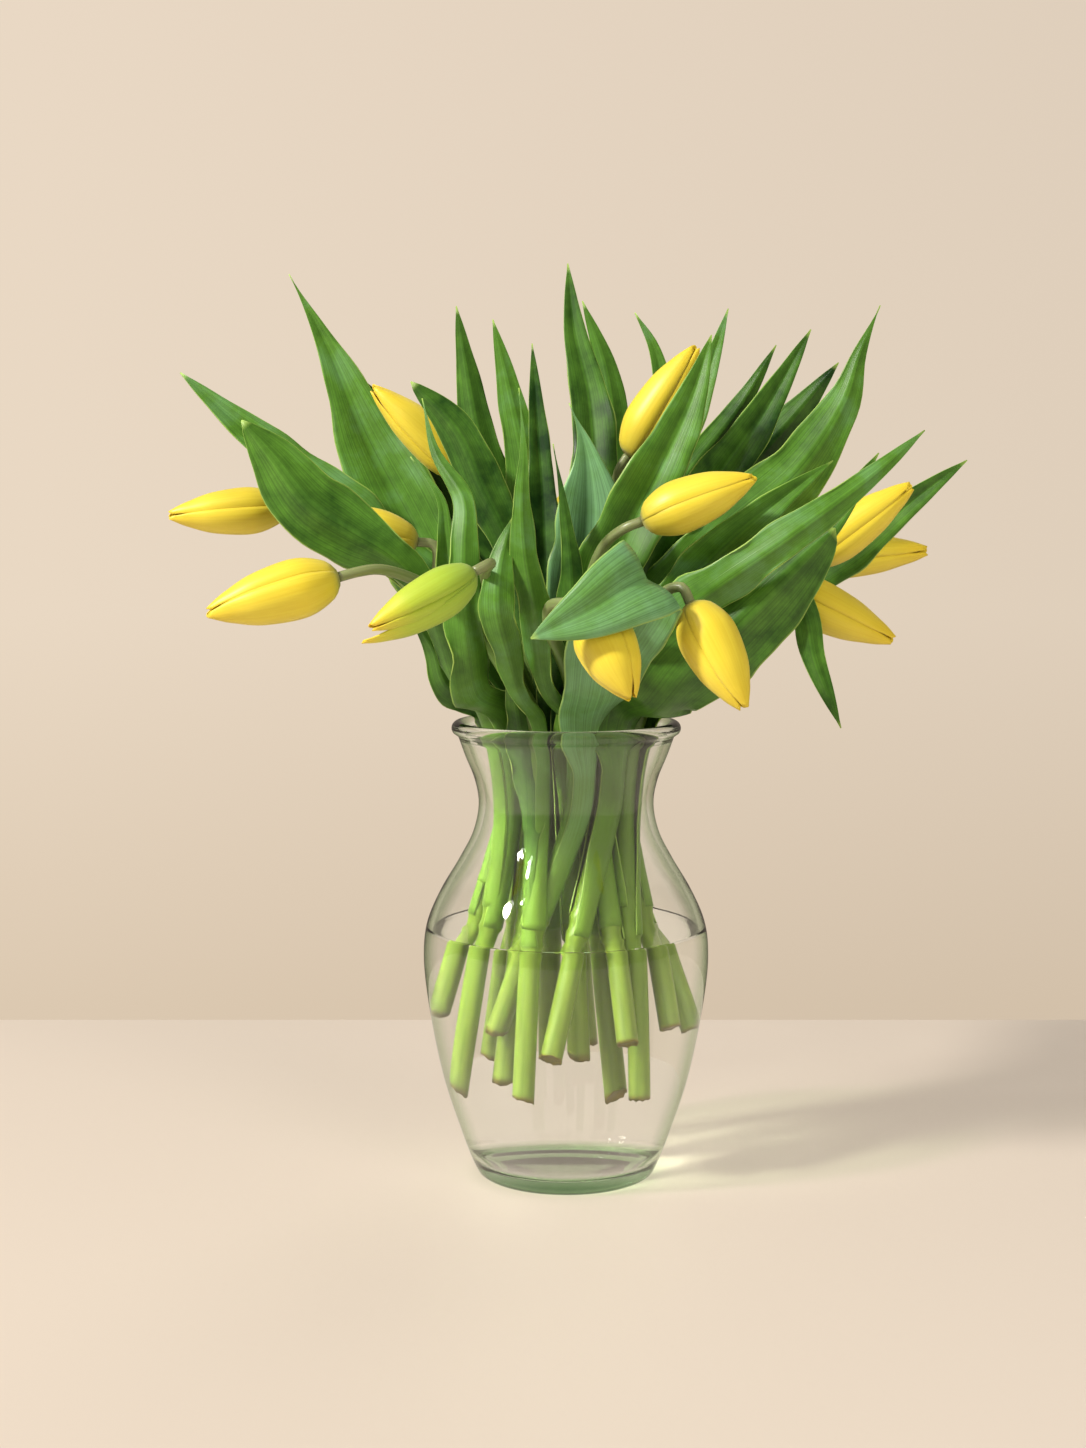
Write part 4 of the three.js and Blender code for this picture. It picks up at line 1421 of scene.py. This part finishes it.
@dataclass
class Studio:
    """The plain table that the vase stands on, the wall, soft light and the camera, in metres.

    The wall is brighter overhead and a little darker to the right: wall_low and wall_sides are parts of
    a unit vector, where its lowest colour is and where it darkens. Its light on the flowers is dimmed to
    room_light. The camera looks down by camera_dip degrees, and its focal length is in picture pixels.
    """

    table_size: Point = (5.0, 1.885, 0.02)
    table_back: float = 0.285
    table_gap: float = 0.0002
    wall_colours: Stops = (
        (0.0, "#d6c3a9"), (0.06, "#dcc9b1"), (0.19, "#e9d8c3"), (0.4, "#e9d8c4"), (1.0, "#efe4d6"),
    )
    wall_low: float = -0.3
    wall_sides: Pair = (-0.22, 0.22)
    wall_right: float = 0.91
    room_light: float = 0.24
    aim: Point = (0.0, 0.0, 0.2)
    camera_place: Point = (-0.0102, -0.964, 0.301)
    camera_dip: float = 5.9
    focal_pixels: float = 2200.0
    long_side_pixels: float = 1448.0

    def build_table(self) -> None:
        """Builds the table top as one thin slab, whose back edge meets the wall's colour."""
        depth, thickness = self.table_size[1:]
        shape = bmesh.new()
        bmesh.ops.create_cube(shape, size=1.0)
        bmesh.ops.scale(shape, vec=self.table_size, verts=shape.verts)
        place = (0, self.table_back - depth / 2, -self.table_gap - thickness / 2)
        bmesh.ops.translate(shape, vec=place, verts=shape.verts)
        mesh = bpy.data.meshes.new("table")
        shape.to_mesh(mesh)
        shape.free()
        mesh.materials.append(PaintedBoard().material())
        table = bpy.data.objects.new("table", mesh)
        bpy.context.scene.collection.objects.link(table)

    def build_wall(self) -> None:
        """Builds the plain wall all round, which lights the bouquet more dimly than it looks."""
        world = bpy.data.worlds.new("plain_wall")
        bpy.context.scene.world = world
        world.use_nodes = True
        tree = world.node_tree
        tree.nodes.clear()
        coordinates = add_node(tree, "TexCoord")
        way = add_node(tree, "SeparateXYZ", {0: coordinates.outputs["Generated"]})
        height = add_node(tree, "MapRange", {0: way.outputs[2], 1: self.wall_low})
        colour = add_node(tree, "ValToRGB", {0: height.outputs[0]}, self.wall_colours)
        left, right = self.wall_sides
        sides = {0: way.outputs[0], 1: left, 2: right, 3: 1.0, 4: self.wall_right}
        side = add_node(tree, "MapRange", sides)
        wall, room = (
            add_node(tree, "Background", {"Color": colour.outputs[0], "Strength": strength})
            for strength in (side.outputs[0], self.room_light)
        )
        ray = add_node(tree, "LightPath")
        mirrored = add_node(tree, "Math", {
            0: ray.outputs["Is Glossy Ray"], 1: ray.outputs["Is Transmission Ray"],
        }, operation="SUBTRACT")
        dimmed = add_node(tree, "Math", {
            0: ray.outputs["Is Diffuse Ray"], 1: mirrored.outputs[0],
        }, operation="MAXIMUM")
        light = add_node(tree, "MixShader", {0: dimmed.outputs[0], 1: wall.outputs[0], 2: room.outputs[0]})
        add_node(tree, "OutputWorld", {"Surface": light.outputs[0]})

    def add_lamp(self, lamp: Lamp) -> None:
        """Adds one lamp.

        Args:
            lamp: where it stands and how it shines.
        """
        data = bpy.data.lights.new(lamp.name, "AREA")
        data.shape = "DISK"
        data.size = lamp.width
        data.energy = lamp.power
        data.color = to_linear(lamp.colour)[:3]
        light = bpy.data.objects.new(lamp.name, data)
        light.location = lamp.place
        aim = Vector(self.aim) - Vector(lamp.place)
        light.rotation_euler = aim.to_track_quat("-Z", "Y").to_euler()
        light.visible_glossy = lamp.glints
        light.visible_transmission = lamp.glints
        bpy.context.scene.collection.objects.link(light)

    def build_camera(self) -> None:
        """Places the camera as the reference view has it: slightly above, looking a little down."""
        data = bpy.data.cameras.new("camera")
        data.sensor_fit = "AUTO"
        data.sensor_width = 36.0
        data.lens = data.sensor_width * self.focal_pixels / self.long_side_pixels
        camera = bpy.data.objects.new("camera", data)
        camera.location = self.camera_place
        camera.rotation_euler = (math.radians(90 - self.camera_dip), 0.0, 0.0)
        bpy.context.scene.collection.objects.link(camera)
        bpy.context.scene.camera = camera

    def build(self) -> None:
        """Builds the camera, the table, the wall and the lamps."""
        self.build_camera()
        self.build_table()
        self.build_wall()
        for lamp in LAMPS:
            self.add_lamp(lamp)
        bpy.context.scene.view_settings.view_transform = "Standard"


def main() -> None:
    """Builds the studio, the vase, the water and the bouquet."""
    logging.basicConfig(level=logging.INFO, format="%(message)s", stream=sys.stdout)
    Studio().build()
    vase = Vase()
    vase.build(ClearGlass())
    vase.build_water(FreshWater())
    Bouquet().build()


if __name__ == "__main__":
    main()
